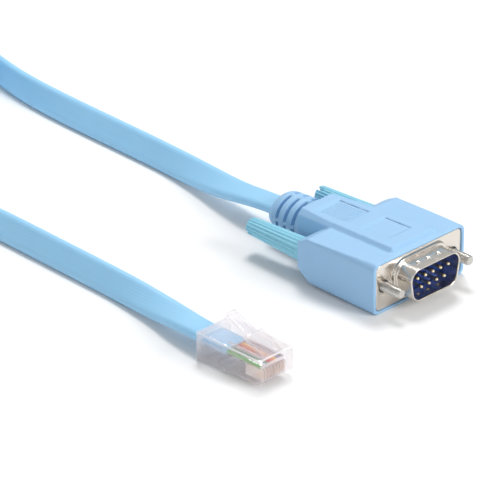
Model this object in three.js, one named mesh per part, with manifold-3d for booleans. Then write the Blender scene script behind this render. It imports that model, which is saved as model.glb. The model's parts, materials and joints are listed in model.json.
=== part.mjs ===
// Console cable: a nine-way D-sub plug with a moulded hood and two thumbscrews, a flat
// eight-core cable, and a clear eight-way modular plug. It lies on a flat surface.
// Millimetres, +Z up. Lengths along the D-sub plug are measured back from the front rim
// of its hood, and those of the modular plug from its own front face. Both plugs face -Y.

import * as THREE from "three";
import Module from "manifold-3d";
import { mergeVertices } from "three/addons/utils/BufferGeometryUtils.js";

const wasm = await Module();
wasm.setup();

// Front shell of the D-sub plug. Its flange reaches past the screws, and its mouth past the pins.
const flangeEnd = 2.91;
const flangeHeight = 12.55;
const flangeThickness = 0.9;
const flangeCorner = 1.5;
const flangeRecess = 0.3;
const pinSideMargin = 2.92;
const pinRowMargin = 2.76;
const mouthCorner = 2.6;
const mouthSlant = 10;
const shroudWall = 0.45;
const shroudProjection = 5.9;
const plinthRise = 0.9;
const plinthBorder = 1.0;
const plinthEdge = 0.35;

// Pins and the insulator that holds them
const pinDiameter = 1.02;
const pinPitch = 2.77;
const pinRowPitch = 2.84;
const pinInset = 0.6;
const pinRootDepth = 5.0;
const pinClearance = 0.05;
const upperPins = 5;
const lowerPins = 4;
const insulatorProud = 0.7;
const insulatorDepth = 6.0;
const insulatorClearance = 0.12;

// Hood: block, raised spine, neck and slotted boot in one moulding
const sideRim = 1.1;
const topRim = 0.83;
const pocketClearance = 0.12;
const hoodDraft = 0.045;
const blockLength = 27;
const blockEdgeRadius = 1.9;
const blockRearRadius = 1.0;
const shoulderTopLength = 3.6;
const shoulderTopDrop = 1.9;
const shoulderBottomLength = 4.4;
const shoulderBottomRise = 3.4;
const spineSetback = 1.4;
const spineBevel = 1.2;
const spineRise = 1.1;
const spineChamfer = 1.1;
const spineFrontWidth = 17;
const spineRearWidth = 15.2;
const neckEndWidth = 14;
const neckEnd = 36.9;
const neckEndBevel = 1.1;
const bootEnd = 51.5;
const bootNose = 5;
const bootStartWidth = 12.9;
const bootStartHeight = 11.3;
const bootShoulderWidth = 12;
const bootShoulderHeight = 10.5;
const bootMouthMargin = 0.75;
const bootPocketDepth = 4;
const slotCount = 3;
const firstSlot = 38.4;
const slotPitch = 2.95;
const slotWidth = 1.1;
const slotDepth = 1.7;
const slotTopBridge = 1.2;
const slotSideBridge = 1.0;
const labelFront = 6.9;
const labelLength = 9.3;
const labelWidth = 9.0;
const gripFront = 21.3;
const gripLength = 10.7;
const gripWidth = 8.6;
const panelDepth = 0.35;

// Thumbscrews: a steel screw in a tapered, ribbed knob
const screwSpacing = 24.99;
const screwDiameter = 2.7;
const screwProjection = 6.0;
const screwTipLength = 0.5;
const screwHoleClearance = 0.3;
const screwInKnob = 12;
const knobFront = 22.6;
const knobTail = 47;
const knobFrontDiameter = 6.3;
const knobTailDiameter = 4.6;
const knobCollar = 5.2;
const knobClearance = 0.25;
const knobRibs = 18;
const knobRibDepth = 0.22;
const knobTailRound = 0.5;
const knobSlotWidth = 1.2;
const knobSlotDepth = 2.4;
const knobSlotAngles = { left: 62, right: -24 };

// Flat cable and the coil that holds the length not laid out
const cableWidth = 7.6;
const cableThickness = 2.5;
const cableFitClearance = 0.15;
const jointGap = 0.3;
const leadSteps = 30;
const laidRoll = 54;
const bootTwist = [51, 98];
const bootCoilTwist = [120, 182];
const plugTwist = [16, 58];
const plugCoilTwist = [105, 178];
const coilCentreX = -27;
const coilCentreY = 206;
const coilOuterRadius = 45.6;
const coilTurnPitch = 2.95;
const coilStartAngle = -20;
const coilLeaveAngle = 200;
const coilWholeTurns = 5;
const coilStepTurn = 0.25;
const coilLayerGap = 0.3;
const coilPointsPerTurn = 24;
const tieAngle = 75;
const tieWidth = 8;
const tieThickness = 0.5;

// Modular plug
const plugX = -57.2;
const plugY = -6.1;
const plugWidth = 11.68;
const plugLength = 21.46;
const plugHeight = 8.0;
const noseRise = 1.4;
const noseLength = 12.5;
const plugEdge = 0.35;
const contactCount = 8;
const contactPitch = 1.02;
const contactThickness = 0.35;
const contactSlotClearance = 0.08;
const contactFront = 0.9;
const contactLength = 5.4;
const contactInset = 0.4;
const contactNoseHeight = 2.2;
const slotFrontWall = 0.45;
const slotBackClearance = 0.25;
const wireDiameter = 0.9;
const wireFront = 1.5;
const wireCentre = 5.2;
const wireClearance = 0.05;
const jacketInPlug = 8.4;
const jacketCentre = 4.6;
const funnelLength = 2.2;
const crimpWindowFront = 14.6;
const crimpWindowLength = 2.4;
const crimpWindowWidth = 6.4;
const crimpWindowDepth = 1.3;
const latchChannelFront = 0.9;
const latchChannelEnd = 13;
const latchChannelDepth = 1.0;
const latchSideClearance = 0.25;

// Latch of the modular plug
const latchRestAngle = 22;
const latchRootSetback = 0.45;
const latchRootRadius = 0.5;
const latchWideLength = 6.7;
const latchWideWidth = 6.0;
const latchWideThickness = 1.35;
const latchLength = 15;
const latchHandleWidth = 3.3;
const latchThickness = 0.9;

// Curves are cut into this many pieces for each quarter turn.
const arcSteps = 5;
const roundSides = 20;
const pinSides = 16;

// Values that follow from the ones above
const flangeWidth = screwSpacing + 2 * flangeEnd;
const mouthWidth = (upperPins - 1) * pinPitch + 2 * pinSideMargin;
const mouthHeight = pinRowPitch + 2 * pinRowMargin;
const hoodWidth = flangeWidth + 2 * sideRim;
const hoodHeight = flangeHeight + 2 * topRim;
const midHeight = hoodHeight / 2;
const flangeFront = flangeRecess;
const flangeBack = flangeFront + flangeThickness;
const mouthFront = flangeFront - shroudProjection;
const screwTip = flangeFront - screwProjection;
const insulatorFace = flangeFront - insulatorProud;
const insulatorBack = flangeBack + insulatorDepth;
const frontReach = Math.min(mouthFront, screwTip);
const rearReach = Math.max(bootEnd, knobTail);
const originShift = -(frontReach + rearReach) / 2;
const latchGap = 0.3;

/** Degrees to radians. */
function radians(degrees) {
  return THREE.MathUtils.degToRad(degrees);
}

/** Turns a closed geometry into a solid that can be joined and cut. */
function solid(geometry) {
  const bare = geometry.clone();
  bare.deleteAttribute("normal");
  bare.deleteAttribute("uv");
  const merged = mergeVertices(bare, 1e-4);
  return new wasm.Manifold(new wasm.Mesh({
    numProp: 3,
    vertProperties: new Float32Array(merged.attributes.position.array),
    triVerts: new Uint32Array(merged.index.array),
  }));
}

/** Turns a solid back into a geometry. */
function geometryOf(body) {
  const mesh = body.getMesh();
  const geometry = new THREE.BufferGeometry();
  geometry.setAttribute("position", new THREE.BufferAttribute(mesh.vertProperties, 3));
  geometry.setIndex(new THREE.BufferAttribute(mesh.triVerts, 1));
  geometry.computeVertexNormals();
  return geometry;
}

/** Joins several solids. */
function joined(bodies) {
  return bodies.reduce((whole, body) => whole.add(body));
}

/** A closed shape through a list of [a, b] points. */
function polygon(points) {
  return new THREE.Shape(points.map(([a, b]) => new THREE.Vector2(a, b)));
}

/** Extrudes a shape straight, without bevels. */
function extruded(shape, depth) {
  return new THREE.ExtrudeGeometry(shape, { depth, bevelEnabled: false, curveSegments: arcSteps });
}

/** A prism whose outline is drawn in (x, z) and which runs along Y. */
function prismAlongY(shape, yFrom, yTo) {
  return extruded(shape, yTo - yFrom).rotateX(Math.PI / 2).translate(0, yTo, 0);
}

/** A prism whose outline is drawn in (y, z) and which runs along X. */
function prismAlongX(shape, xFrom, xTo) {
  const turn = new THREE.Matrix4().makeBasis(
    new THREE.Vector3(0, 1, 0),
    new THREE.Vector3(0, 0, 1),
    new THREE.Vector3(1, 0, 0),
  );
  return extruded(shape, xTo - xFrom).applyMatrix4(turn).translate(xFrom, 0, 0);
}

/** A prism whose outline is drawn in (x, y) and which runs along Z. */
function prismAlongZ(shape, zFrom, zTo) {
  return extruded(shape, zTo - zFrom).translate(0, 0, zFrom);
}

/** A box between two corners. */
function boxBetween(low, high) {
  const size = low.map((value, i) => high[i] - value);
  const centre = low.map((value, i) => (high[i] + value) / 2);
  return new THREE.BoxGeometry(...size).translate(...centre);
}

/** A rounded rectangle centred on (centreA, centreB). */
function roundedRectangle(width, height, radius, centreA = 0, centreB = 0) {
  const a = width / 2 - radius;
  const b = height / 2 - radius;
  const shape = new THREE.Shape();
  shape.absarc(centreA + a, centreB + b, radius, 0, Math.PI / 2);
  shape.absarc(centreA - a, centreB + b, radius, Math.PI / 2, Math.PI);
  shape.absarc(centreA - a, centreB - b, radius, Math.PI, 1.5 * Math.PI);
  shape.absarc(centreA + a, centreB - b, radius, 1.5 * Math.PI, 2 * Math.PI);
  return shape;
}

/** The D outline of the mouth, grown outward by a distance, wide side up. */
function dOutline(growth) {
  const slant = radians(mouthSlant);
  const rise = mouthHeight / 2 - mouthCorner;
  const topX = mouthWidth / 2 - mouthCorner;
  const bottomX = topX - 2 * rise * Math.tan(slant);
  const radius = mouthCorner + growth;
  const quarter = Math.PI / 2;
  const shape = new THREE.Shape();
  shape.absarc(topX, midHeight + rise, radius, -slant, quarter);
  shape.absarc(-topX, midHeight + rise, radius, quarter, Math.PI + slant);
  shape.absarc(-bottomX, midHeight - rise, radius, Math.PI + slant, 3 * quarter);
  shape.absarc(bottomX, midHeight - rise, radius, -quarter, -slant);
  return shape;
}

/** The cable's flat section with round edges, grown outward by a distance. */
function cableOutline(growth, centreX, centreZ) {
  const width = cableWidth + 2 * growth;
  const height = cableThickness + 2 * growth;
  return roundedRectangle(width, height, height / 2 - 0.01, centreX, centreZ);
}

/** A closed skin through outlines of equal point count, each [y, [[x, z], ...]], turning from +Z to +X. */
function loft(sections) {
  const sides = sections[0][1].length;
  const levels = sections.length - 1;
  const geometry = new THREE.CylinderGeometry(1, 1, 1, sides, levels);
  const place = geometry.attributes.position;
  for (let i = 0; i < place.count; i += 1) {
    const level = Math.round((place.getY(i) + 0.5) * levels);
    const [y, outline] = sections[level];
    const reach = Math.hypot(place.getX(i), place.getZ(i));
    const turn = Math.atan2(place.getX(i), place.getZ(i)) / (2 * Math.PI);
    const corner = (Math.round(turn * sides) + sides) % sides;
    const centre = [0, 1].map((k) => outline.reduce((sum, point) => sum + point[k], 0) / sides);
    const [x, z] = reach > 0.5 ? outline[corner] : centre;
    place.setXYZ(i, x, y, z);
  }
  return geometry;
}

/** A rod along Y. */
function rodAlongY(diameter, yFrom, yTo, x, z, sides = roundSides) {
  const geometry = new THREE.CylinderGeometry(diameter / 2, diameter / 2, yTo - yFrom, sides);
  return geometry.translate(x, (yFrom + yTo) / 2, z);
}

/** Height of the hood's block at a distance behind the rim: its top falls by the draft. */
function blockTop(y) {
  return hoodHeight - hoodDraft * y;
}

/** Height of the spine and the neck, which keep one rise above the block's top. */
function spineTop(y) {
  return blockTop(y) + spineRise;
}

/** The hood's block: front outline, side profile and plan, each cutting the others. */
function hoodBlock() {
  const front = prismAlongY(
    roundedRectangle(hoodWidth, hoodHeight, blockEdgeRadius, 0, midHeight), 0, blockLength,
  );
  const topBend = blockLength - shoulderTopLength;
  const bottomBend = blockLength - shoulderBottomLength;
  const side = prismAlongX(polygon([
    [0, 0],
    [bottomBend, hoodDraft * bottomBend],
    [blockLength, hoodDraft * bottomBend + shoulderBottomRise],
    [blockLength, blockTop(topBend) - shoulderTopDrop],
    [topBend, blockTop(topBend)],
    [0, hoodHeight],
  ]), -hoodWidth, hoodWidth);
  const half = hoodWidth / 2;
  const plan = new THREE.Shape();
  plan.moveTo(-half, 0);
  plan.lineTo(half, 0);
  plan.absarc(half - blockRearRadius, blockLength - blockRearRadius, blockRearRadius, 0, Math.PI / 2);
  plan.absarc(blockRearRadius - half, blockLength - blockRearRadius, blockRearRadius, Math.PI / 2, Math.PI);
  return solid(front).intersect(solid(side)).intersect(solid(prismAlongZ(plan, 0, hoodHeight)));
}

/** One section of the spine and neck, an octagon with chamfered long edges. */
function neckSection(y, width, top, bottom, chamfer) {
  const side = width / 2;
  const flat = side - chamfer;
  return [y, [
    [flat, top], [side, top - chamfer], [side, bottom + chamfer], [flat, bottom],
    [-flat, bottom], [-side, bottom + chamfer], [-side, top - chamfer], [-flat, top],
  ]];
}

/** The raised spine, which runs on as the neck. Its underside is the face the plug lies on. */
function hoodSpine() {
  const bevelEnd = spineSetback + spineBevel;
  const neckBody = neckEnd - neckEndBevel;
  const neckBottom = hoodDraft * neckBody / 2;
  const endTop = midHeight + bootStartHeight / 2;
  const endBottom = midHeight - bootStartHeight / 2;
  return solid(loft([
    neckSection(spineSetback, spineFrontWidth, blockTop(spineSetback) - spineBevel / 4, 0, spineChamfer / 2),
    neckSection(bevelEnd, spineFrontWidth, spineTop(bevelEnd), 0, spineChamfer),
    neckSection(blockLength, spineRearWidth, spineTop(blockLength), 0, spineChamfer),
    neckSection(neckBody, neckEndWidth, spineTop(neckBody), neckBottom, spineChamfer * 1.4),
    neckSection(neckEnd, bootStartWidth, endTop, endBottom, bootStartHeight / 4),
  ]));
}

/** An oval outline for the boot. */
function oval(width, height) {
  const points = [];
  for (let i = 0; i < 4 * arcSteps + 4; i += 1) {
    const turn = (2 * Math.PI * i) / (4 * arcSteps + 4);
    points.push([(width / 2) * Math.sin(turn), midHeight + (height / 2) * Math.cos(turn)]);
  }
  return points;
}

/** The boot: a slow taper, then a round nose down to the cable. */
function hoodBoot() {
  const noseStart = bootEnd - bootNose;
  const endWidth = cableWidth + 2 * bootMouthMargin;
  const endHeight = cableThickness + 4 * bootMouthMargin;
  const sections = [
    [neckEnd - 2, oval(bootStartWidth, bootStartHeight)],
    [noseStart, oval(bootShoulderWidth, bootShoulderHeight)],
  ];
  const noseSteps = 5;
  for (let i = 1; i <= noseSteps; i += 1) {
    const turn = (Math.PI / 2) * (i / noseSteps);
    const share = Math.cos(turn);
    sections.push([
      noseStart + bootNose * Math.sin(turn),
      oval(
        endWidth + (bootShoulderWidth - endWidth) * share,
        endHeight + (bootShoulderHeight - endHeight) * share,
      ),
    ]);
  }
  return solid(loft(sections));
}

/** The slots across the boot, down to an oval core, with a bridge on each middle plane. */
function bootSlots() {
  const reach = bootStartWidth;
  const slots = [];
  for (let i = 0; i < slotCount; i += 1) {
    const y = firstSlot + i * slotPitch;
    const low = y - slotWidth / 2;
    const high = y + slotWidth / 2;
    const core = loft([low - 1, high + 1].map((level) => [
      level, oval(bootShoulderWidth - 2 * slotDepth, bootShoulderHeight - 2 * slotDepth),
    ]));
    const uprightBridge = boxBetween(
      [-slotTopBridge / 2, low - 1, midHeight - reach], [slotTopBridge / 2, high + 1, midHeight + reach],
    );
    const levelBridge = boxBetween(
      [-reach, low - 1, midHeight - slotSideBridge / 2], [reach, high + 1, midHeight + slotSideBridge / 2],
    );
    const slab = boxBetween([-reach, low, midHeight - reach], [reach, high, midHeight + reach]);
    slots.push(solid(slab).subtract(solid(core)).subtract(solid(uprightBridge)).subtract(solid(levelBridge)));
  }
  return joined(slots);
}

/** A shallow panel sunk into the sloping top of the spine. */
function topPanel(front, length, width) {
  const back = front + length;
  return solid(prismAlongX(polygon([
    [front, spineTop(front) - panelDepth],
    [back, spineTop(back) - panelDepth],
    [back, spineTop(back) + spineRise],
    [front, spineTop(front) + spineRise],
  ]), -width / 2, width / 2));
}

/** Everything that is open in the hood: shell pocket, screw bores, knob wells, cable mouth. */
function hoodHollows() {
  const flangePocket = prismAlongY(roundedRectangle(
    flangeWidth + 2 * pocketClearance, flangeHeight + 2 * pocketClearance, flangeCorner, 0, midHeight,
  ), -1, flangeBack + pocketClearance);
  const insulatorPocket = prismAlongY(dOutline(pocketClearance), 0, insulatorBack + pocketClearance);
  const cableMouth = prismAlongY(
    cableOutline(cableFitClearance, 0, midHeight), bootEnd - bootPocketDepth, bootEnd + 1,
  );
  const hollows = [flangePocket, insulatorPocket, cableMouth].map(solid);
  for (const x of [-screwSpacing / 2, screwSpacing / 2]) {
    const bore = rodAlongY(screwDiameter + 2 * screwHoleClearance, 0, blockLength, x, midHeight);
    const wellFloor = knobFront - jointGap;
    const well = rodAlongY(
      knobFrontDiameter + 2 * knobClearance, wellFloor, blockLength + 1, x, midHeight, 2 * knobRibs,
    );
    hollows.push(solid(bore), solid(well));
  }
  return joined(hollows);
}

/** The whole hood, one moulding. */
function hoodGeometry() {
  return geometryOf(
    joined([hoodBlock(), hoodSpine(), hoodBoot()])
      .subtract(bootSlots())
      .subtract(topPanel(labelFront, labelLength, labelWidth))
      .subtract(topPanel(gripFront, gripLength, gripWidth))
      .subtract(hoodHollows()),
  );
}

/** The front shell: flange with a raised plinth, and the D-shaped shroud. */
function shellGeometry() {
  const plate = prismAlongY(
    roundedRectangle(flangeWidth, flangeHeight, flangeCorner, 0, midHeight), flangeFront, flangeBack,
  );
  const plinthFoot = prismAlongY(
    dOutline(shroudWall + plinthBorder), flangeFront - plinthRise + plinthEdge, flangeBack,
  );
  const plinthCrown = prismAlongY(
    dOutline(shroudWall + plinthBorder - plinthEdge), flangeFront - plinthRise, flangeBack,
  );
  const shroud = prismAlongY(dOutline(shroudWall), mouthFront, flangeBack);
  const mouth = prismAlongY(dOutline(0), mouthFront - 1, flangeBack + 1);
  let body = joined([plate, plinthFoot, plinthCrown, shroud].map(solid)).subtract(solid(mouth));
  for (const x of [-screwSpacing / 2, screwSpacing / 2]) {
    const hole = rodAlongY(screwDiameter + 2 * screwHoleClearance, mouthFront, flangeBack + 1, x, midHeight);
    body = body.subtract(solid(hole));
  }
  return geometryOf(body);
}

/** Where the nine pins stand: five above, four below. */
function pinPlaces() {
  const places = [];
  for (const [count, side] of [[upperPins, 1], [lowerPins, -1]]) {
    for (let i = 0; i < count; i += 1) {
      places.push([(i - (count - 1) / 2) * pinPitch, midHeight + (side * pinRowPitch) / 2]);
    }
  }
  return places;
}

/** The insulator, with a blind hole for each pin. */
function insulatorGeometry() {
  let body = solid(prismAlongY(dOutline(-insulatorClearance), insulatorFace, insulatorBack));
  for (const [x, z] of pinPlaces()) {
    const floor = insulatorFace + pinRootDepth + jointGap;
    const hole = rodAlongY(pinDiameter + 2 * pinClearance, insulatorFace - 1, floor, x, z, pinSides);
    body = body.subtract(solid(hole));
  }
  return geometryOf(body);
}

/** A turned profile of [radius, distance along the axis] points, with its axis along Y. */
function turned(points, sides) {
  const profile = points.map(([radius, y]) => new THREE.Vector2(radius, y));
  return new THREE.LatheGeometry(profile, sides);
}

/** One pin with a round nose. */
function pinGeometry() {
  const radius = pinDiameter / 2;
  const tip = mouthFront + pinInset;
  const points = [[0, tip]];
  for (let i = 1; i <= 3; i += 1) {
    const turn = (Math.PI / 2) * (i / 3);
    points.push([radius * Math.sin(turn), tip + radius * (1 - Math.cos(turn))]);
  }
  points.push([radius, insulatorFace + pinRootDepth], [0, insulatorFace + pinRootDepth]);
  return turned(points, pinSides);
}

/** One jackscrew: a straight shank with a chamfered tip. */
function jackscrewGeometry() {
  const radius = screwDiameter / 2;
  const back = knobFront + screwInKnob;
  return turned([
    [0, screwTip], [radius * 0.72, screwTip], [radius, screwTip + screwTipLength],
    [radius, back], [0, back],
  ], roundSides);
}

/** One knob: smooth collar, ribbed taper, screwdriver slot across the tail. */
function knobGeometry(slotAngle) {
  const collarEnd = knobFront + knobCollar;
  const sides = 4 * knobRibs;
  const ring = (y, diameter, depth) => {
    const points = [];
    for (let i = 0; i < sides; i += 1) {
      const turn = (2 * Math.PI * i) / sides;
      const radius = diameter / 2 - (i % 4 < 2 ? 0 : depth);
      points.push([radius * Math.sin(turn), radius * Math.cos(turn)]);
    }
    return [y, points];
  };
  const taper = (y) => THREE.MathUtils.mapLinear(y, collarEnd, knobTail, knobFrontDiameter, knobTailDiameter);
  const body = solid(loft([
    ring(knobFront, knobFrontDiameter, 0),
    ring(collarEnd, knobFrontDiameter, 0),
    ring(collarEnd + knobTailRound, taper(collarEnd + knobTailRound), knobRibDepth),
    ring(knobTail - knobTailRound, taper(knobTail - knobTailRound), knobRibDepth),
    ring(knobTail, knobTailDiameter - 2 * knobTailRound, knobRibDepth / 2),
  ]));
  const slot = boxBetween(
    [-knobSlotWidth / 2, knobTail - knobSlotDepth, -knobFrontDiameter],
    [knobSlotWidth / 2, knobTail + 1, knobFrontDiameter],
  ).rotateY(radians(slotAngle));
  const well = rodAlongY(
    screwDiameter + 2 * pinClearance, knobFront - 1, knobFront + screwInKnob + jointGap, 0, 0,
  );
  return geometryOf(body.subtract(solid(slot)).subtract(solid(well)));
}

// Where the flat cable lies: [x, y, gap], y from the hood's rim, and the gap between its lowest
// edge and the floor. The first list leads from the boot to the coil, the second from the coil
// to the modular plug.
const bootLead = [
  [-0.1, 56, 5.45],
  [0.2, 62, 4.4],
  [1.2, 70, 2.7],
  [2.7, 80, 1.05],
  [3.7, 90, 0.2],
  [4.2, 100, 0.05],
  [4.5, 110, 0.05],
  [4.8, 121, 0.05],
  [5.0, 132, 0.05],
  [5.4, 143, 0.1],
  [6.4, 154, 0.2],
  [8.6, 165, 0.35],
  [11.8, 177, 0.55],
];
const plugLead = [
  [-66.2, 178, 6.9],
  [-62.0, 165, 5.2],
  [-58.6, 152, 3.1],
  [-56.0, 139, 1.4],
  [-54.2, 126, 0.5],
  [-53.0, 113, 0.1],
  [-52.4, 100, 0.05],
  [-52.6, 87, 0.05],
  [-53.0, 74, 0.05],
  [-53.4, 61, 0.05],
  [-53.9, 48, 0.2],
  [-54.9, 36, 1.15],
  [-56.4, 26, 2.7],
];

/** Roll of the cable about its own line, in degrees: flat, leaning, and on edge in the coil. */
function cableRoll(y, comingHome) {
  const share = ([from, to]) => THREE.MathUtils.smoothstep(y, from, to);
  return comingHome
    ? 180 - laidRoll * share(plugTwist) - (90 - laidRoll) * share(plugCoilTwist)
    : laidRoll * share(bootTwist) + (90 - laidRoll) * share(bootCoilTwist);
}

/** The middle line of a laid-out stretch, as high as its roll and the gap below it ask. */
function laidOut(rows, comingHome) {
  return rows.map(([x, y, gap]) => {
    const roll = radians(cableRoll(y, comingHome));
    const rest = ((cableWidth - cableThickness) / 2) * Math.abs(Math.sin(roll)) + cableThickness / 2;
    return new THREE.Vector3(x, y, gap + rest);
  });
}

/** The turns of the coil: inward on the floor, up one layer inside, outward on top. */
function coilTurns() {
  const coilFloor = tieThickness + jointGap;
  const lowLayer = coilFloor + cableWidth / 2;
  const highLayer = lowLayer + cableWidth + coilLayerGap;
  const turns = coilWholeTurns + (coilLeaveAngle - coilStartAngle) / 360;
  const layerTurns = (turns - coilStepTurn) / 2;
  const count = Math.round(turns * coilPointsPerTurn);
  const points = [];
  for (let i = 0; i <= count; i += 1) {
    const turn = (turns * i) / count;
    const inward = Math.min(turn, layerTurns);
    const outward = Math.max(turn - layerTurns - coilStepTurn, 0);
    const radius = coilOuterRadius - coilTurnPitch * (inward - outward);
    const step = THREE.MathUtils.smoothstep(turn, layerTurns, layerTurns + coilStepTurn);
    const angle = radians(coilStartAngle + 360 * turn);
    points.push(new THREE.Vector3(
      coilCentreX + radius * Math.cos(angle),
      coilCentreY + radius * Math.sin(angle),
      lowLayer + (highLayer - lowLayer) * step,
    ));
  }
  return points;
}

const cableStart = bootEnd - bootPocketDepth + jointGap;
const jacketEnd = plugY + plugLength - jacketInPlug;
const bootEntry = [[0, cableStart, midHeight], [0, bootEnd - 1, midHeight]];
const plugEntry = [
  [plugX, plugY + plugLength + 1, jacketCentre],
  [plugX, plugY + plugLength - jacketInPlug / 2, jacketCentre],
  [plugX, jacketEnd, jacketCentre],
];
const asVectors = (rows) => rows.map((row) => new THREE.Vector3(...row));
const cablePath = new THREE.CatmullRomCurve3([
  ...asVectors(bootEntry),
  ...laidOut(bootLead, false),
  ...coilTurns(),
  ...laidOut(plugLead, true),
  ...asVectors(plugEntry),
], false, "centripetal");
cablePath.arcLengthDivisions = 4000;

/** A stretch of the cable's path, whose frames carry the roll of the flat section. */
class CableStretch extends THREE.Curve {
  constructor(from, to, comingHome) {
    super();
    this.from = from;
    this.to = to;
    this.comingHome = comingHome;
  }

  getPoint(t, target = new THREE.Vector3()) {
    return cablePath.getPointAt(this.from + (this.to - this.from) * t, target);
  }

  computeFrenetFrames(steps) {
    const frames = { tangents: [], normals: [], binormals: [] };
    const up = new THREE.Vector3(0, 0, 1);
    for (let i = 0; i <= steps; i += 1) {
      const tangent = this.getTangentAt(i / steps);
      const left = new THREE.Vector3().crossVectors(up, tangent).normalize();
      const rise = new THREE.Vector3().crossVectors(tangent, left);
      const roll = radians(cableRoll(this.getPointAt(i / steps).y, this.comingHome));
      const face = rise.multiplyScalar(Math.cos(roll)).addScaledVector(left, Math.sin(roll));
      frames.tangents.push(tangent);
      frames.normals.push(new THREE.Vector3().crossVectors(face, tangent));
      frames.binormals.push(face);
    }
    return frames;
  }
}

/** The parts of the path outside the coil, as shares of its length. */
function coilShares() {
  const reach = coilOuterRadius + cableThickness / 2 + jointGap;
  const samples = 4000;
  const outside = [];
  for (let i = 0; i <= samples; i += 1) {
    const point = cablePath.getPointAt(i / samples);
    const radius = Math.hypot(point.x - coilCentreX, point.y - coilCentreY);
    outside.push(radius - cableThickness / 2 > reach);
  }
  return [outside.indexOf(false) / samples, outside.lastIndexOf(false) / samples];
}

/** A stretch of the flat cable as one solid. */
function cableGeometry(from, to, comingHome) {
  const shape = new THREE.Shape();
  const radius = cableThickness / 2;
  const half = cableWidth / 2 - radius;
  shape.absarc(half, 0, radius, -Math.PI / 2, Math.PI / 2);
  shape.absarc(-half, 0, radius, Math.PI / 2, 1.5 * Math.PI);
  return new THREE.ExtrudeGeometry(shape, {
    steps: leadSteps,
    curveSegments: arcSteps,
    bevelEnabled: false,
    extrudePath: new CableStretch(from, to, comingHome),
  });
}

/** The outer shape of the coil: one ring that the turns fill. */
function coilGeometry() {
  const low = tieThickness + jointGap;
  const high = low + 2 * cableWidth + coilLayerGap;
  const turns = coilWholeTurns + (coilLeaveAngle - coilStartAngle) / 360;
  const outer = coilOuterRadius + cableThickness / 2;
  const inner = coilOuterRadius - coilTurnPitch * ((turns - coilStepTurn) / 2) - cableThickness / 2;
  const profile = [[inner, low], [outer, low], [outer, high], [inner, high], [inner, low]];
  const ring = new THREE.LatheGeometry(profile.map(([r, z]) => new THREE.Vector2(r, z)), 64);
  return ring.rotateX(Math.PI / 2);
}

/** The tie: a flat strap round the coil's section. */
function tieGeometry() {
  const turns = coilWholeTurns + (coilLeaveAngle - coilStartAngle) / 360;
  const outer = coilOuterRadius + cableThickness / 2;
  const inner = coilOuterRadius - coilTurnPitch * ((turns - coilStepTurn) / 2) - cableThickness / 2;
  const sag = inner - Math.sqrt(inner ** 2 - (tieWidth / 2) ** 2);
  const low = inner - sag - jointGap;
  const high = outer + jointGap;
  const height = 2 * cableWidth + coilLayerGap + 2 * jointGap;
  const centreA = (low + high) / 2;
  const centreB = tieThickness + height / 2;
  const strap = roundedRectangle(
    high - low + 2 * tieThickness, height + 2 * tieThickness, 2 * tieThickness, centreA, centreB,
  );
  strap.holes.push(roundedRectangle(high - low, height, tieThickness / 2, centreA, centreB));
  return prismAlongY(strap, -tieWidth / 2, tieWidth / 2);
}

/** X of each contact and wire from the plug's middle. */
function contactPlaces() {
  return Array.from({ length: contactCount }, (_, i) => (i - (contactCount - 1) / 2) * contactPitch);
}

/** The clear housing: nose, stepped belly, contact slots, wire space and jacket pocket. */
function plugHousingGeometry() {
  const half = plugWidth / 2;
  const side = prismAlongX(polygon([
    [0, noseRise + plugEdge],
    [plugEdge, noseRise],
    [noseLength, noseRise],
    [noseLength, 0],
    [plugLength, 0],
    [plugLength, plugHeight],
    [plugEdge, plugHeight],
    [0, plugHeight - plugEdge],
  ]), -half, half);
  const front = prismAlongY(
    roundedRectangle(plugWidth, plugHeight, plugEdge, 0, plugHeight / 2), -1, plugLength + 1,
  );
  const slotTop = wireCentre - wireDiameter / 2;
  const hollows = contactPlaces().map((x) => {
    const reach = contactThickness / 2 + contactSlotClearance;
    return boxBetween(
      [x - reach, slotFrontWall, noseRise - 1],
      [x + reach, contactFront + contactLength + slotBackClearance, slotTop],
    );
  });
  const wireHalf = (contactCount * contactPitch) / 2;
  const wireSpace = wireDiameter / 2 + wireClearance;
  const jacketFront = plugLength - jacketInPlug - jointGap;
  hollows.push(
    boxBetween(
      [-wireHalf, wireFront - jointGap, wireCentre - wireSpace],
      [wireHalf, jacketFront + funnelLength, wireCentre + wireSpace],
    ),
    prismAlongY(cableOutline(cableFitClearance, 0, jacketCentre), jacketFront, plugLength + 1),
    boxBetween(
      [-crimpWindowWidth / 2, crimpWindowFront, -1],
      [crimpWindowWidth / 2, crimpWindowFront + crimpWindowLength, crimpWindowDepth],
    ),
    boxBetween(
      [-latchWideWidth / 2 - latchSideClearance, latchChannelFront, plugHeight - latchChannelDepth],
      [latchWideWidth / 2 + latchSideClearance, latchChannelEnd, plugHeight + 1],
    ),
  );
  return geometryOf(solid(side).intersect(solid(front)).subtract(joined(hollows.map(solid))));
}

/** The latch, drawn along +Y from its root and then turned up to its rest angle. */
function latchGeometry() {
  const low = -latchRootRadius;
  const wide = new THREE.Shape();
  wide.moveTo(0, low);
  wide.lineTo(latchWideLength, low);
  wide.lineTo(latchWideLength, low + latchWideThickness);
  wide.lineTo(latchWideLength - 1, low + latchWideThickness);
  wide.lineTo(1, latchRootRadius);
  wide.absarc(0, 0, latchRootRadius, Math.PI / 2, 1.5 * Math.PI);
  const wideHalf = latchWideWidth / 2;
  const handleHalf = latchHandleWidth / 2;
  const handle = boxBetween(
    [-handleHalf, 1, low], [handleHalf, latchLength, low + latchThickness],
  );
  return geometryOf(solid(prismAlongX(wide, -wideHalf, wideHalf)).add(solid(handle)));
}

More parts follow.
